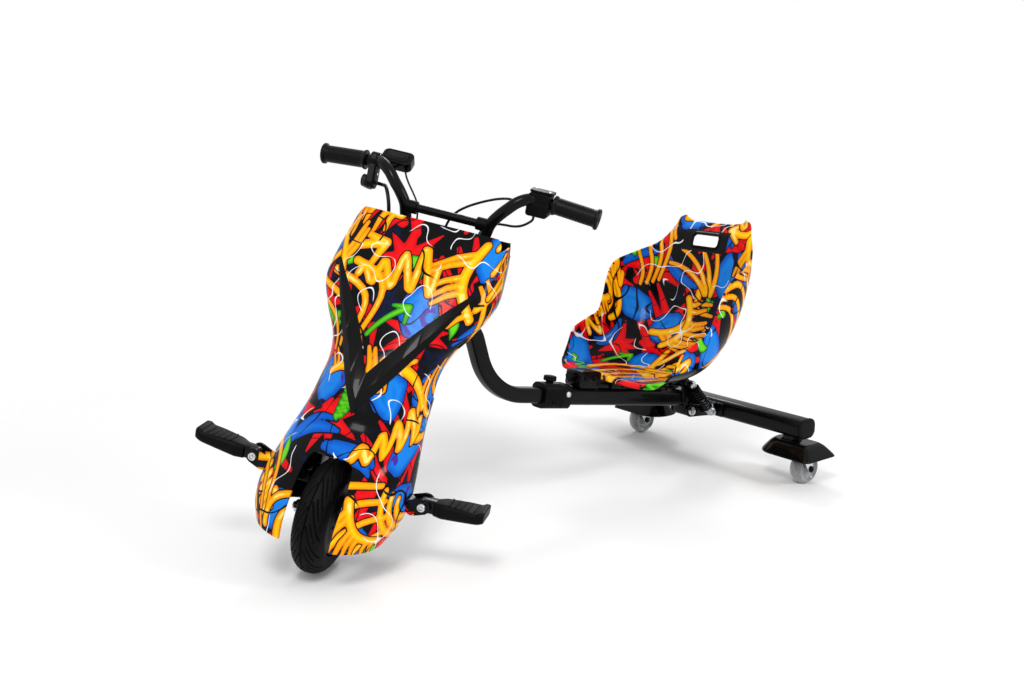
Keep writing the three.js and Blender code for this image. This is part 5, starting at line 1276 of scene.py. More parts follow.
def makePeg(side, word):
    bolt = Vector((side * peg["x"], peg["y"], peg["z"]))
    node, title, long = "foot_peg_" + word, word.title(), peg["out"] - peg["x"]
    outline = strap((side * peg["foot"], peg["arm"]), (bolt.x, bolt.z), peg["lug"], peg["lug"], 18)
    plates = []
    for face in (-1, 1):
        middle = peg["y"] + face * (peg["gap"] + peg["plate"] / 2)
        plates.append(prism(outline, middle - peg["plate"] / 2, middle + peg["plate"] / 2, "Y"))
    arm = shifted(block(peg["foot"] - peg["armFrom"], 30, 22), side * (peg["armFrom"] + peg["foot"]) / 2,
                  peg["y"], peg["arm"])
    clevis = piece("pegClevis" + title, merged(arm, *plates), "print", front, "front_unit", bevel=1.0,
                   nodes=["peg_bracket_" + word])
    applied(clevis, "SUBSURF", subdivision_type="SIMPLE", levels=3)
    addPrint(clevis, *pegPlaces(localPoints(clevis, front)))
    root = strap((bolt.x, bolt.z), (side * (peg["x"] + 0.32 * long), peg["z"] + 1.2), peg["root"], peg["root"],
                 18)
    piece("pegPaddle" + title, pegPaddle(side), "matt", front, node, bevel=1.4, nodes=[node], segments=3)
    piece("pegHinge" + title, prism(root, peg["y"] - 10, peg["y"] + 10, "Y"), "paint", front, node, bevel=1.2)
    groove = prism(roundedRect(*peg["groove"]), 0, 1.5)
    grooves = [shifted(groove, side * (peg["x"] + long * (0.42 + 0.1 * k)), peg["y"],
                       peg["z"] + peg["tall"] * (0.525 + 0.02 * k)) for k in range(peg["grooves"])]
    piece("pegTread" + title, merged(*grooves), "matt", front, node, bevel=0.5)
    reach = Vector((0, peg["gap"] + peg["plate"] + 0.3, 0))
    end = reach + Vector((0, 5, 0))
    pin = merged(rod(bolt - reach, bolt + end, peg["pin"], 28),
                 turned(peg["head"], (0, -1, 0), bolt - reach, 40))
    piece("pegPin" + title, pin, "zinc", front, "front_unit", nodes=["peg_pin_" + word])
    piece("pegNut" + title, rod(bolt + reach, bolt + end, peg["nut"], 6), "zinc", front, "front_unit",
          bevel=0.6)


for side, word in sides:
    makePeg(side, word)
print("pegs made")


# Head, front beam and outer tube
beam = {"size": 30, "corner": 7, "wall": 2.6, "room": 0.6, "legLean": 16, "legFootY": 376, "bend": 118,
        "neckTop": 408,
        "neckBend": 46, "headLow": 250, "headHigh": 350, "headRadius": 21, "outerFront": 29, "outerBack": 424,
        "innerBack": 250, "weld": (16.5, 19), "weldOut": 0.4}
bearing = [(14.7, 0), (19.6, 0), (21, 1.2), (21, 2.8), (20.2, 3.3), (21, 3.8), (21, 6.2), (20, 7), (14.7, 7)]
bore = beam["size"] + beam["room"]
outerSize = bore + 2 * beam["wall"]


# A square tube along corners of (point, bend radius) in the middle plane
def bentBeam(corners, outline, steps):
    rings = []

    def ringAt(point, heading):
        upright = Vector((-heading.y, heading.x))
        rings.append([(a, point.x + upright.x * b, point.y + upright.y * b) for a, b in outline])

    ringAt(corners[0][0], (corners[1][0] - corners[0][0]).normalized())
    for (before, _), (point, radius), (after, _) in zip(corners, corners[1:], corners[2:]):
        into, out = (point - before).normalized(), (after - point).normalized()
        swing = math.atan2(into.x * out.y - into.y * out.x, into.dot(out))
        start = point - into * radius * math.tan(abs(swing) / 2)
        centre = start + Vector((-into.y, into.x)) * math.copysign(radius, swing)
        for step in range(steps + 1):
            spin = Matrix.Rotation(swing * step / steps, 2)
            ringAt(centre + spin @ (start - centre), spin @ into)
    ringAt(corners[-1][0], (corners[-1][0] - corners[-2][0]).normalized())
    return loft(rings)


def makeBeam():
    lean = math.radians(beam["legLean"])
    runWay, legWay = Vector((math.cos(slope), -math.sin(slope))), Vector((-math.sin(lean), math.cos(lean)))
    runRoot = Vector((steer["runY"], steer["runZ"]))
    foot = Vector((beam["legFootY"], runRoot.y - (beam["legFootY"] - runRoot.x) * math.tan(slope)))
    corner = foot + legWay * ((beam["neckTop"] - foot.y) / legWay.y)
    root = onAxis((beam["headLow"] + beam["headHigh"]) / 2)
    line = [(Vector((root.y, root.z)), 0), (corner, beam["neckBend"]), (foot, beam["bend"]),
            (runRoot + runWay * beam["innerBack"], 0)]
    outline = roundedRect(beam["size"], beam["size"], beam["corner"], 6)
    piece("beamTube", bentBeam(line, outline, 22), "paint", whole, "front_beam", nodes=["front_beam"])
    r, low, high = beam["headRadius"], beam["headLow"], beam["headHigh"]
    head = [(r - 3, low), (r - 0.6, low), (r, low + 0.6), (r, low + 9), (r + 1.6, low + 10),
            (r + 1.6, low + 13),
            (r, low + 14), (r, high - 0.6), (r - 0.6, high), (r - 3, high)]
    piece("headTube", turned(head, axisDir, axisRoot, 56, closed=True), "paint", whole, "front_beam",
          nodes=["head_tube"])
    for name, node, start in (("bearingLow", "head_bearing_low", low - 7.3),
                              ("bearingHigh", "head_bearing_high", high + 0.3)):
        ring = turned(bearing, axisDir, onAxis(start), 56, closed=True)
        piece(name, ring, "zinc", whole, "front_beam", nodes=[node])
    wide, tall = beam["weld"]
    spots = []
    for k in range(25):
        x, z = wide * math.cos(fullTurn * k / 24), tall * math.sin(fullTurn * k / 24)
        spots.append(root + axisDir * z + Vector((x, math.sqrt(r ** 2 - x * x) + beam["weldOut"], 0)))
    piece("neckWeld", tube(spots, 2.4, 12, 40), "paint", whole, "front_beam")


def flatRing(outline, y):
    return [(x, y, z) for x, z in outline]


def makeOuter():
    outer = roundedRect(outerSize, outerSize, beam["corner"] + beam["wall"], 6)
    inner = roundedRect(bore, bore, beam["corner"], 6)
    near, far = beam["outerFront"], beam["outerBack"]
    rings = [flatRing(outline, y)
             for outline, y in ((outer, near), (outer, far), (inner, far), (inner, near), (outer, near))]
    piece("outerTube", loft(rings, caps=False), "paint", run, "rear_frame", nodes=["outer_tube"])
    plug = prism(roundedRect(30.4, 30.4, 6.8, 6), far - 14, far + 1.2, "Y")
    piece("outerTubePlug", plug, "matt", run, "rear_frame", bevel=1.0)


# Collar levels: place along the beam, width, height, corner
collar = {
    "levels": [(-22, 42.5, 47.5, 13), (-22, 44, 49, 13.6), (-21, 45, 50, 14), (18.5, 45, 50, 14),
               (20, 45.4, 49.4, 13), (22, 48, 48, 10.5), (42.6, 48, 48, 10.5), (44, 46.4, 46.4, 9.8)],
    "boss": [(7.5, 0), (7.5, 2.6), (6.4, 3.6), (5.5, 3.6)],
    "screw": [(0.05, 1.2), (2.6, 1.2), (3, 2.4), (4.6, 2.2), (5.4, 0.8), (5.5, 0)],
    "pinFace": 24.3, "pinY": 34, "pinZ": 6, "pin": [(0.05, 3.3), (3.4, 3.2), (5.2, 2.5), (6, 1.2), (6, 0)],
    "knob": ((0.86, 28.4), (1, 29.6), (1, 36.6), (0.88, 38.6), (0.5, 39.4), (0.42, 38.6)), "knobY": 2,
}


# A knob's fluted outline
def fluted(radius, depth, flutes, count):
    outline = []
    for k in range(count):
        angle = fullTurn * k / count
        out = radius + depth * math.tanh(2.4 * math.cos(flutes * angle))
        outline.append((out * math.cos(angle), out * math.sin(angle)))
    return outline


def makeCollar():
    inner = roundedRect(bore, bore, beam["corner"], 6)
    rings = [flatRing(roundedRect(wide, high, corner, 6), y) for y, wide, high, corner in collar["levels"]]
    near, far = collar["levels"][0][0], collar["levels"][-1][0]
    body = loft([flatRing(inner, near), *rings, flatRing(inner, far)], caps=False)
    piece("collarBody", body, "matt", run, "rear_frame", nodes=["beam_collar"], angle=30)
    y = collar["knobY"]
    piece("collarBoss", turned(collar["boss"], (0, 0, 1), (0, y, 24.6), 40), "matt", run, "rear_frame")
    slit = shifted(prism(roundedRect(2.2, 38, 0.8, 3), 22.5, 25.3), 14, 0, 0)
    piece("collarSlit", slit, "gloss", run, "rear_frame")
    piece("collarScrew", turned(collar["screw"], (1, 0, 0), (22.4, y, -12), 36), "matt", run, "rear_frame")
    outline = fluted(12.3, 0.7, 10, 120)
    knob = loft([[(x * share, y + across * share, z) for x, across in outline] for share, z in collar["knob"]])
    stem = rod((0, y, 15.4), (0, y, 34), 5, 28)
    piece("clampKnob", merged(knob, stem), "matt", run, "clamp_knob", nodes=["clamp_knob"], angle=30)
    face, y, z = (collar[key] for key in ("pinFace", "pinY", "pinZ"))
    pin = merged(rod((18.4, y, z), (face + 1, y, z), 4.5, 28),
                 turned(collar["pin"], (1, 0, 0), (face, y, z), 40))
    piece("lengthPin", pin, "zinc", run, "length_plunger", nodes=["length_plunger"])


makeBeam()
makeOuter()
makeCollar()


# Seat. Each row: number, centre back and up, half width, edge back and up, roundness
seat = {
    "half": 170, "front": 655, "deep": 338, "low": 214, "tall": 322, "wall": 4, "slotHalf": 38, "slotHigh": 28,
    "slotZ": 488.99, "beadLines": 3, "recess": (62, 22), "underTop": 262,
    "rows": [
        (0, 0.02, 0.05, 0.8, 0.1, 0.07, 3), (1, 0.06, 0.065, 0.9, 0.15, 0.14, 3),
        (2, 0.18, 0.045, 0.95, 0.215, 0.265, 2.8),
        (3, 0.36, 0.03, 0.95, 0.345, 0.33, 2.6), (4, 0.53, 0.055, 0.945, 0.43, 0.37, 2.4),
        (5, 0.68, 0.13, 0.96, 0.48, 0.48, 2.2),
        (6, 0.78, 0.25, 0.985, 0.525, 0.6, 2.2), (7, 0.84, 0.415, 1, 0.6, 0.69, 2.2),
        (8, 0.86, 0.61, 0.93, 0.75, 0.745, 2.3),
        (9, 0.88, 0.765, 0.77, 0.885, 0.81, 2.5), (10, 0.91, 0.885, 0.62, 0.955, 0.92, 2.8),
        (10.5, 0.95, 0.928, 0.588, 0.972, 0.966, 2.5), (10.8, 0.974, 0.95, 0.555, 0.98, 0.988, 2.2),
        (11, 0.99, 0.962, 0.49, 0.985, 1, 2)],
}
seatPrint = {"seed": 8, "low": (-330, -10), "high": (330, 620), "more": 0.14}
slotLip = ((0, 3.4), (2.2, 4.2), (4.6, 3.2), (5.2, 2.1), (5.2, -2.1), (4.6, -3.2), (2.2, -4.2), (0, -3.4),
           (-0.8, 0), (0, 3.4))


def seatPoint(row, across):
    _, centreY, centreZ, half, edgeY, edgeZ, power = smoothTable(seat["rows"], row)
    angle = abs(across) * math.pi / 2
    wrap = (1 - max(math.cos(angle), 0) ** (2 / power)) ** 1.4
    y, z = centreY + (edgeY - centreY) * wrap, centreZ + (edgeZ - centreZ) * wrap
    x = math.copysign(half * math.sin(angle) ** ((2 / power) ** 0.6), across)
    return Vector((x * seat["half"], seat["front"] + y * seat["deep"], seat["low"] + z * seat["tall"]))


# The seat back's own middle surface, over a place in the slot
def surfaceAt(x, z):
    low, high = 8.5, 11.0
    for _ in range(22):
        row = (low + high) / 2
        values = smoothTable(seat["rows"], row)
        reach = min(abs(x) / (values[3] * seat["half"]), 1) ** (1 / ((2 / values[6]) ** 0.6))
        found = seatPoint(row, math.asin(reach) / (math.pi / 2))
        if found.z < z:
            low = row
        else:
            high = row
    return Vector((x, found.y, z))


# The shell's points, faces and marks: (across the unwrapped shell, along it, 0 inside to 1 outside)
def seatShape():
    rows, across = ((170, 190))
    middle, wall, lines = across // 2, seat["wall"], seat["beadLines"]
    dense = np.array([[seatPoint(11 * i / rows, -1 + 2 * j / across) for j in range(across + 1)]
                      for i in range(rows + 1)])
    along = np.concatenate([[0], np.cumsum(np.linalg.norm(np.diff(dense[:, middle], axis=0), axis=1))])
    steps = np.linalg.norm(np.diff(dense, axis=1), axis=2)
    offsets = np.zeros(dense.shape[:2])
    offsets[:, middle + 1:] = np.cumsum(steps[:, middle:], axis=1)
    offsets[:, :middle] = -np.cumsum(steps[:, :middle][:, ::-1], axis=1)[:, ::-1]
    slopes = np.cross(np.gradient(dense, axis=1), np.gradient(dense, axis=0))
    slopes /= np.linalg.norm(slopes, axis=2, keepdims=True)
    inner, outer = dense + slopes * (wall / 2), dense - slopes * (wall / 2)
    if slopes[rows // 4, middle][2] < 0:
        inner, outer = outer, inner
    count, size = across + 1, (rows + 1) * (across + 1)
    points, faces, marks = [], [], []
    for layer, skin in enumerate((inner, outer)):
        points += [Vector(p) for p in skin.reshape(-1, 3)]
        marks += [(offsets[i, j], along[i], layer) for i in range(rows + 1) for j in range(count)]
    for i in range(rows):
        for j in range(across):
            a, b = i * count + j, (i + 1) * count + j
            faces += [(a, a + 1, b + 1, b), (size + a, size + b, size + b + 1, size + a + 1)]
    # The rounded rim, from the inner skin over to the outer one
    edge = list(range(count)) + [i * count + across for i in range(1, rows + 1)]
    edge += [rows * count + j for j in range(across - 1, -1, -1)] + [i * count for i in range(rows - 1, 0, -1)]
    total, base = len(edge), len(points)
    rim = []
    for k, index in enumerate(edge):
        spots = (index, size + index, edge[k - 1], edge[(k + 1) % total])
        a, b, before, after = (np.array(points[n]) for n in spots)
        out = np.cross(after - before, a - b)
        out /= np.linalg.norm(out)
        i, j = divmod(index, count)
        inside = dense[min(max(i, 1), rows - 1), min(max(j, 1), count - 2)]
        rim.append((a, b, out if np.dot(out, (a + b) / 2 - inside) > 0 else -out))
    for step in range(lines):
        angle = math.pi * (step + 1) / (lines + 1)
        for index, (a, b, way) in zip(edge, rim):
            points.append(Vector((a + b) / 2 + (a - b) / 2 * math.cos(angle) + way * wall * 0.5 * math.sin(angle)))
            marks.append((*marks[index][:2], 0.5))
    for k in range(total):
        n = (k + 1) % total
        ladder, after = ([edge[m]] + [base + step * total + m for step in range(lines)] + [size + edge[m]]
                         for m in (k, n))
        faces += [(p, q, s, r) for p, q, r, s in zip(ladder, after, ladder[1:], after[1:])]
    return points, faces, marks


def makeSeat():
    points, faces, marks = seatShape()
    shell = piece("seatShell", (points, faces), "print", whole, "rear_frame", nodes=["seat_shell"], angle=50)
    slot = prism(roundedRect(seat["slotHalf"] * 2, seat["slotHigh"], 9.3, 8), seat["front"] + seat["deep"] / 2,
                 seat["front"] + seat["deep"] * 1.6, "Y")
    carve(shell, whole, shifted(slot, 0, 0, seat["slotZ"]))
    places = localPoints(shell, whole)
    tree = KDTree(len(points))
    for index, point in enumerate(points):
        tree.insert(point, index)
    tree.balance()
    across, along, layer = np.array([marks[tree.find(place)[1]] for place in places]).T
    x, y, z = places.T
    rect = np.maximum(np.abs(x) - seat["recess"][0], np.abs(z - seat["slotZ"] + 1) - seat["recess"][1])
    recess = np.where(y > seat["front"] + seat["deep"] * 0.6, rect, unprinted)
    under = np.where((layer > 0.75) & (z < seat["underTop"]), -2.0, unprinted)
    strokes = layout(seatPrint["seed"], seatPrint["low"], seatPrint["high"], seatPrint["more"])
    addPrint(shell, np.c_[across, along], np.minimum(recess, under), strokes)
    smoothShade(shell, 50)
    makeSlotLip()


def makeSlotLip():
    along = (seatPoint(10.6, 0) - seatPoint(9.4, 0)).normalized()
    normal = Vector((0, along.z, -along.y))
    rings = []
    for grow, out in slotLip:
        wide, tall = (size + 2 * grow - 3 for size in (seat["slotHalf"] * 2, seat["slotHigh"]))
        rings.append([surfaceAt(x, seat["slotZ"] + up) - normal * out
                      for x, up in roundedRect(wide, tall, 8 + grow, 6)])
    piece("slotFrame", loft(rings, caps=False), "matt", whole, "rear_frame", angle=30)


carrier = {"rail": (30, 238.7, 8), "railPlace": (0, 209.35, 22.2), "post": (56, 34, 7, 6),
           "postPlace": (0, 90, 35.2),
           "half": 22, "padLow": 18.2, "under": 2.4, "knobZ": 39.28,
           "knob": ((0.5, 49.7), (0.88, 49.9), (1, 51.2), (1, 59.8), (0.9, 61.7)),
           "bolt": [(0.05, 3), (3.4, 3), (5, 2), (5.4, 0)], "bolts": ((78, 38), (102, 38), (275, 36))}


def makeCarrier():
    half, low = carrier["half"], carrier["padLow"]
    rail = shifted(block(*carrier["rail"]), *carrier["railPlace"])
    post = shifted(prism(roundedRect(*carrier["post"]), -half, half, "X"), *carrier["postPlace"])
    toRun = run.inverted() @ whole
    pads = []
    for first, last in ((1, 2), (3, 4)):
        line = [toRun @ seatPoint(first + (last - first) * i / 10, 0) for i in range(11)]
        outline = [(p.y, p.z - carrier["under"]) for p in line] + [(line[-1].y, low), (line[0].y, low)]
        pads.append(prism(outline, -half, half, "X"))
    piece("carrierRail", merged(rail, post, *pads), "paint", run, "rear_frame", bevel=1.0,
          nodes=["seat_carrier"])
    outline = fluted(10.4, 0.6, 8, 96)
    knob = loft([[(x * share, y, carrier["knobZ"] + z * share) for x, z in outline]
                 for share, y in carrier["knob"]])
    piece("seatKnob", knob, "matt", run, "seat_knob", nodes=["seat_knob"], angle=30)
    bolts = [turned(carrier["bolt"], (side, 0, 0), (side * half, y, z), 32)
             for side in (-1, 1) for y, z in carrier["bolts"]]
    piece("carrierBolts", merged(*bolts), "matt", run, "rear_frame")


makeSeat()
makeCarrier()
print("seat made")


# Shock bracket, crossbar and shocks; places are (y, z) in the middle plane
rear = {"pivot": (906, 127), "top": (889, 191), "foot": (955, 121), "barY": 1015, "barZ": 118, "deep": 50,
        "high": 40, "half": 242, "corner": 15, "shockX": 37, "inside": 18.4, "plate": 4, "yoke": 19.6, "yokePlate": 5,
        "neckX": 209, "neckLow": 88.3, "neckHigh": 99, "neck": 18.5,
        "flange": [(18.5, 0), (21.5, 0.2), (21.5, 2), (18.8, 3)],
        "cap": [(0, 0.2), (0, 1), (4.2, 1), (5.4, 0.2), (6, -2), (6.3, -9)]}
# Shares of the head's radius and thickness
boltHead = ((0.42, 0.72), (0.5, 1), (0.86, 0.92), (0.98, 0.6), (1, 0))


def makeBracket():
    (py, pz), (ty, tz) = rear["pivot"], rear["top"]
    inside, outside = rear["inside"], rear["inside"] + rear["plate"]
    outline = strap((ty, tz), (ty + 7.5, pz + 30), 12, 15, 18)
    plates = [prism(outline, side * inside, side * outside, "X") for side in (-1, 1)]
    lug = crossRod((py, pz), 18, 12, 40)
    web = shifted(block(36, 24, 20), 0, py, pz + 10)
    shelf = shifted(block(44.8, 24, 9.5), 0, py, pz + 19.2)
    ears = crossRod((ty, tz), inside + 0.3, 10, 36)
    piece("bracketPlates", merged(*plates, lug, web, shelf, ears), "paint", whole, "rear_frame", bevel=0.8,
          nodes=["shock_bracket"])


def makeBolt(name, node, point, half, radius, head, thick, body):
    profile = [(0.05, thick * 0.72)] + [(head * out, thick * up) for out, up in boltHead]
    heads = [turned(profile, (side, 0, 0), (side * half, *point), 40) for side in (-1, 1)]
    shank = crossRod(point, half + 0.5, radius, 28)
    piece(name, merged(shank, *heads), "zinc", whole, body, nodes=[node])


def barRing(x, wide, high, corner):
    return [(x, rear["barY"] + a, rear["barZ"] + b) for a, b in roundedRect(wide, high, corner, 8)]


def makeCrossbar():
    half, deep, high, corner = (rear[key] for key in ("half", "deep", "high", "corner"))
    (py, pz), (fy, fz), barZ = rear["pivot"], rear["foot"], rear["barZ"]
    outer, inner = (deep, high, corner), (deep - 5, high - 5, corner - 2.5)
    rings = [barRing(x, *size) for x, size in ((-half, inner), (-half, outer), (half, outer), (half, inner))]
    face = rear["barY"] - deep / 2
    arm = strap((py, pz), (fy, fz), 13, 12, 18)
    root = [(fy, fz - 12), (face + 1, barZ - 15), (face + 1, barZ + 15), (fy, fz + 12)]
    arms = [prism(outline, side * rear["yoke"], side * (rear["yoke"] + rear["yokePlate"]), "X")
            for side in (-1, 1) for outline in (arm, root)]
    plate = shifted(block(84, 5, 30), 0, face - 1.5, barZ)
    necks, flanges, beads = [], [], []
    for side in (-1, 1):
        x, y = side * rear["neckX"], rear["barY"]
        necks.append(rod((x, y, rear["neckLow"]), (x, y, rear["neckHigh"]), rear["neck"], 56))
        flanges.append(turned(rear["flange"], (0, 0, 1), (x, y, rear["neckLow"] + 0.1), 56))
        beads.append(tube([(side * 27, face - 1.6, barZ - 14), (side * 27.6, face - 2.2, barZ),
                           (side * 27, face - 1.6, barZ + 14)], 1.9, 10, 16))
    piece("crossTube", loft(rings, caps=False), "paint", whole, "rear_swing", nodes=["crossbar"], bevel=0.6)
    piece("yokePlates", merged(*arms, plate), "paint", whole, "rear_swing", bevel=0.9)
    piece("casterNecks", merged(*necks, *flanges), "paint", whole, "rear_swing")
    piece("yokeWelds", merged(*beads), "paint", whole, "rear_swing")
    for side, word in sides:
        end = half + 0.3
        rings = [barRing(side * (end + out), 44, 34, 12) for out in (-22, 0)]
        rings += [barRing(side * (end + out), deep + 2 * grow, high + 2 * grow, max(corner + grow, 3))
                  for out, grow in rear["cap"]]
        piece("endCap" + word.title(), loft(rings), "matt", whole, "rear_swing", nodes=["crossbar_cap_" + word],
              angle=45)


coil = {"turns": 8.5, "radius": 10, "wire": 2, "start": 18.3, "end": 4.6, "steps": 28}
shock = {  # a radius of 0 stands for the bore
    "eye": [(0, -5), (8, -5), (9, -4), (9, 4), (8, 5), (0, 5)], "bodyBore": 4.3, "rodBore": 4.5,
    "body": [(0.05, 8), (6.8, 8), (6.8, 13), (11.4, 13), (12.2, 13.6), (12.2, 15.4), (11.6, 16), (6.8, 16),
             (6.8, 49), (6, 50), (4.4, 50)],
    "stem": [(0.05, 36), (4, 36)],
    # places before the foot
    "seat": [(4, 16), (11.6, 16), (12.2, 15.4), (12.2, 13.6), (11.4, 13), (6, 13), (5, 8)],
}


def coilPath(span):
    turns, end = coil["turns"], coil["end"]
    mid = (span - 2 * coil["start"] - 2 * end) / (turns - 2)
    path = []
    for i in range(int(turns * coil["steps"]) + 1):
        t = i / coil["steps"]
        place = min(t, 1) * end + max(0, min(t, turns - 1) - 1) * mid + max(0, t - turns + 1) * end
        x, z = (coil["radius"] * way(fullTurn * t) for way in (math.cos, math.sin))
        path.append(Vector((x, coil["start"] + place, z)))
    return path


def coilShape(path):
    rings = []
    for i, point in enumerate(path):
        ahead = (path[min(i + 1, len(path) - 1)] - path[max(i - 1, 0)]).normalized()
        out = Vector((point.x, 0, point.z)).normalized()
        out = (out - ahead * out.dot(ahead)).normalized()
        across = ahead.cross(out)
        rings.append([point + out * a + across * b for a, b in circle(coil["wire"], 14)])
    return loft(rings)


def makeShock(side, word):
    top, foot = Vector(rear["top"]), Vector(rear["foot"])
    span, way, title = (foot - top).length, foot - top, word.title()
    lean = Matrix.Rotation(math.atan2(way.y, way.x), 4, "X")
    place = whole @ Matrix.Translation((side * rear["shockX"], *top)) @ lean

    def eye(hole, y):
        return turned([(radius or hole, x) for radius, x in shock["eye"]], (1, 0, 0), (0, y, 0), 48,
                      closed=True)

    def along(profile):
        return turned(profile, (0, 1, 0), (0, 0, 0), 48)

    body, rodBody, node = "shock_body_" + word, "shock_rod_" + word, "shock_spring_" + word
    piece("shockBody" + title, merged(eye(shock["bodyBore"], 0), along(shock["body"])), "matt", place, body,
          nodes=[body])
    stem = shock["stem"] + [(radius, span - before) for radius, before in shock["seat"]]
    piece("shockRod" + title, merged(eye(shock["rodBore"], span), along(stem)), "zinc", place, rodBody,
          nodes=[rodBody])
    path = coilPath(span)
    spring = piece("shockSpring" + title, coilShape(path), "gloss", place, None, nodes=[node])
    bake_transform(spring)


makeBracket()
makeBolt("swingBolt", "swing_bolt", rear["pivot"], 24.9, 5, 9, 6, "rear_frame")
makeCrossbar()
for side, word in sides:
    makeShock(side, word)
makeBolt("shockTopBolt", "shock_top_bolt", rear["top"], 42.3, 4, 7.5, 5, "rear_frame")
makeBolt("shockFootBolt", "shock_foot_bolt", rear["foot"], 42.3, 4, 7.5, 5, "rear_swing")
print("rear frame made")


# Casters and their covers
cover = {"low": 60, "high": 88, "middle": 1018.11, "outer": 286, "inner": 146, "half": 50, "wall": 3,
         "outerCorner": 12,
         "innerCorner": 46, "lean": [(0, 0), (0.1, 0.02), (0.55, 0.39), (0.82, 0.65), (1, 0.92)]}


def coverOutline(inset):
    half = cover["half"] - inset
    share = half / cover["half"]
    outer, inner = cover["outerCorner"] * share, cover["innerCorner"] * share
    outerX, innerX, quarter = cover["outer"] - inset - outer, cover["inner"] + inset + inner, math.pi / 2
    outline = arc(outerX, half - outer, outer, 0, quarter, 10) + arc(innerX, half - inner, inner, quarter,
                                                                     math.pi, 10)
    outline += arc(innerX, inner - half, inner, math.pi, 3 * quarter, 10)
    outline += arc(outerX, outer - half, outer, 3 * quarter, fullTurn, 10)
    return [(x, cover["middle"] + y) for x, y in outline]


def makeCover(side, word):
    low, high, wall = cover["low"], cover["high"], cover["wall"]
    tall = high - low
    outside = [(low + t * tall, smoothTable(cover["lean"], t)[1] * tall) for t in np.linspace(0, 1, 18)]
    top = outside[-1][1]
    levels = outside + [(high, top + 1.5), (high - wall, top + 4)]
    levels += [(z - wall if z > low + 3 else z, inset + wall) for z, inset in reversed(outside)]
    rings = [[(x, y, z) for x, y in coverOutline(inset)] for z, inset in levels]
    lid = prism(coverOutline(top + 1.2), high - 3, high - 0.05)
    shape = merged(loft(rings + rings[:1], caps=False), lid)
    piece("casterCover" + word.title(), shape if side > 0 else flippedX(shape), "gloss", whole, "rear_swing",
          nodes=["caster_cover_" + word], angle=32)


caster = {
    "x": 239.5, "kingY": 1009.22, "trail": 12, "radius": 33, "half": 14, "crown": 22, "room": 1.2, "plate": 3,
    "shaft": 4,
    "swivel": [(0.05, 84.6), (12, 84.6), (12, 82), (11, 81), (11, 79.6), (12, 78.6), (12, 75.6), (10, 75)],
    "boss": [(0.05, 5.0), (3.2, 5.0), (3.6, 3.4), (5.6, 3.2), (6.8, 2.2), (7, 0)],
    # places from the edge
    "side": [(4.4, 0), (11.2, 0), (12, 0.8), (12.4, 3.4), (13.4, 4), (22, 4), (23.6, 2.6), (25.4, 0.6)],
}


def makeCaster(side, word):
    place = whole @ Matrix.Translation((side * caster["x"], caster["kingY"], 0))
    half, crown, radius, trail = (caster[key] for key in ("half", "crown", "radius", "trail"))
    inside = half + caster["room"]
    outside = inside + caster["plate"]
    node, title = "caster_fork_" + word, word.title()
    outline = strap((0, 62), (trail, radius), 13, 8, 18)
    legs = [prism(outline, f * inside, f * outside, "X") for f in (-1, 1)]
    bridge = shifted(prism(roundedRect(2 * outside, 28, 6, 6), -2, 2), 0, 0, 73)
    piece("casterFork" + title, merged(*legs, bridge), "zinc", place, node, bevel=0.9, nodes=[node], segments=3)
    piece("casterSwivel" + title, turned(caster["swivel"], (0, 0, 1), (0, 0, 0), 48), "zinc", place, node)
    bosses = [turned(caster["boss"], (f, 0, 0), (f * outside, trail, radius), 40) for f in (-1, 1)]
    piece("casterBosses" + title, merged(*bosses), "matt", place, node)
    piece("casterShaft" + title, crossRod((trail, radius), outside, caster["shaft"], 28), "zinc", place, node)
    profile = [(r, into - half) for r, into in caster["side"]]
    for k in range(21):
        x = half * (-1 + k / 10)
        profile.append((radius - crown + math.sqrt(crown ** 2 - x * x), x))
    profile += [(r, half - into) for r, into in reversed(caster["side"])]
    node = "caster_wheel_" + word
    tyre = turned(profile, (1, 0, 0), (0, trail, radius), 96, closed=True)
    piece("casterTyre" + title, tyre, "wheel", place, node, nodes=[node], angle=40)


for make in (makeCover, makeCaster):
    for side, word in sides:
        make(side, word)
print("casters made")


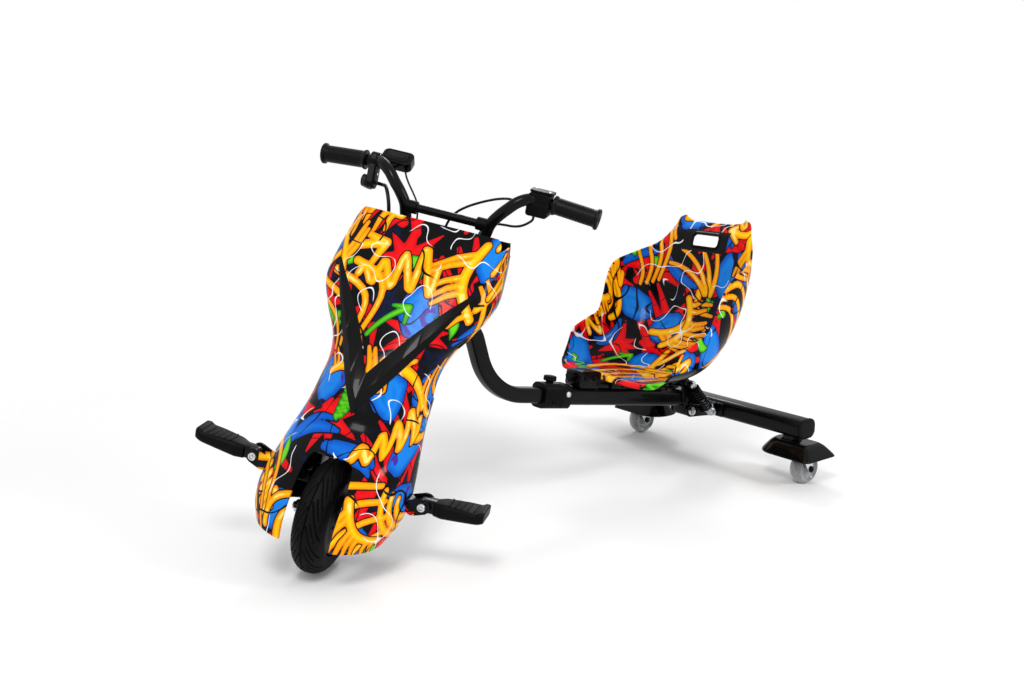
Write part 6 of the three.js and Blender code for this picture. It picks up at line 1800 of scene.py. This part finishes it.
# Floor that fades into the backdrop, world and lights
stage = {"near": 0.72, "far": 1.7, "wide": 3.0, "ambient": 0.7}
lamps = {
    "keyLamp": {"place": (1.4, -1.6, 2.6), "aim": (0, 0, 0.3), "size": 0.9, "power": 36},
    "sideLamp": {"place": (2.4, 1.2, 1.8), "aim": (0.1, 0.2, 0.3), "size": 0.6, "power": 20},
    "backLamp": {"place": (-1.8, 1.8, 2.2), "aim": (0, 0, 0.3), "size": 0.7, "power": 20},
}


def makeFloor():
    mesh = bpy.data.meshes.new("floor")
    wide = stage["wide"]
    mesh.from_pydata([(-wide, -wide, 0), (wide, -wide, 0), (wide, wide, 0), (-wide, wide, 0)], [],
                     [(0, 1, 2, 3)])
    ground = linked("floor", mesh)
    material, start, shader = newMaterial("paleFloor", {})
    clouds = start.noise(2.0)
    where = start.node("ShaderNodeTexCoord", output=3)
    away = start.node("ShaderNodeVectorMath", {0: where}, output=1, operation="LENGTH")
    fade = away.between(stage["near"], stage["far"], 1.0, 0.0, interpolation_type="SMOOTHSTEP")
    connect(shader, color=clouds.mix(rgb(250, 250, 250), rgb(253, 253, 253)),
            rough=clouds.between(0.3, 0.7, 0.85, 0.95),
            alpha=fade)
    mesh.materials.append(material)


# The camera, metal and the smoky wheels see white; the rest is lit a little dimmer
def makeWorld():
    world = bpy.data.worlds.new("studio")
    bpy.context.scene.world = world
    world.use_nodes = True
    tree = world.node_tree
    tree.nodes.clear()
    wire = Wire(tree)
    seen, glossy, through = (wire.node("ShaderNodeLightPath", output=k) for k in (0, 3, 6))
    white = wire.maths("MAXIMUM", wire.maths("MAXIMUM", seen, glossy), through)
    strength = white * (1 - stage["ambient"]) + stage["ambient"]
    sky = wire.node("ShaderNodeBackground", {"Color": (1, 1, 1, 1), "Strength": strength})
    output = tree.nodes.new("ShaderNodeOutputWorld")
    tree.links.new(sky.socket, output.inputs[0])


def makeLamp(name, lamp):
    data = bpy.data.lights.new(name, "AREA")
    data.shape = "SQUARE"
    data.size = lamp["size"]
    data.energy = lamp["power"]
    place = Vector(lamp["place"])
    heading = (Vector(lamp["aim"]) - place).to_track_quat("-Z", "Y").to_matrix().to_4x4()
    linked(name, data).matrix_world = Matrix.Translation(place) @ heading


makeFloor()
makeWorld()
for name, lamp in lamps.items():
    makeLamp(name, lamp)
print("stage made")
for name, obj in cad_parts.items():
    if not obj.hide_render:
        print("shown from the source:", name)
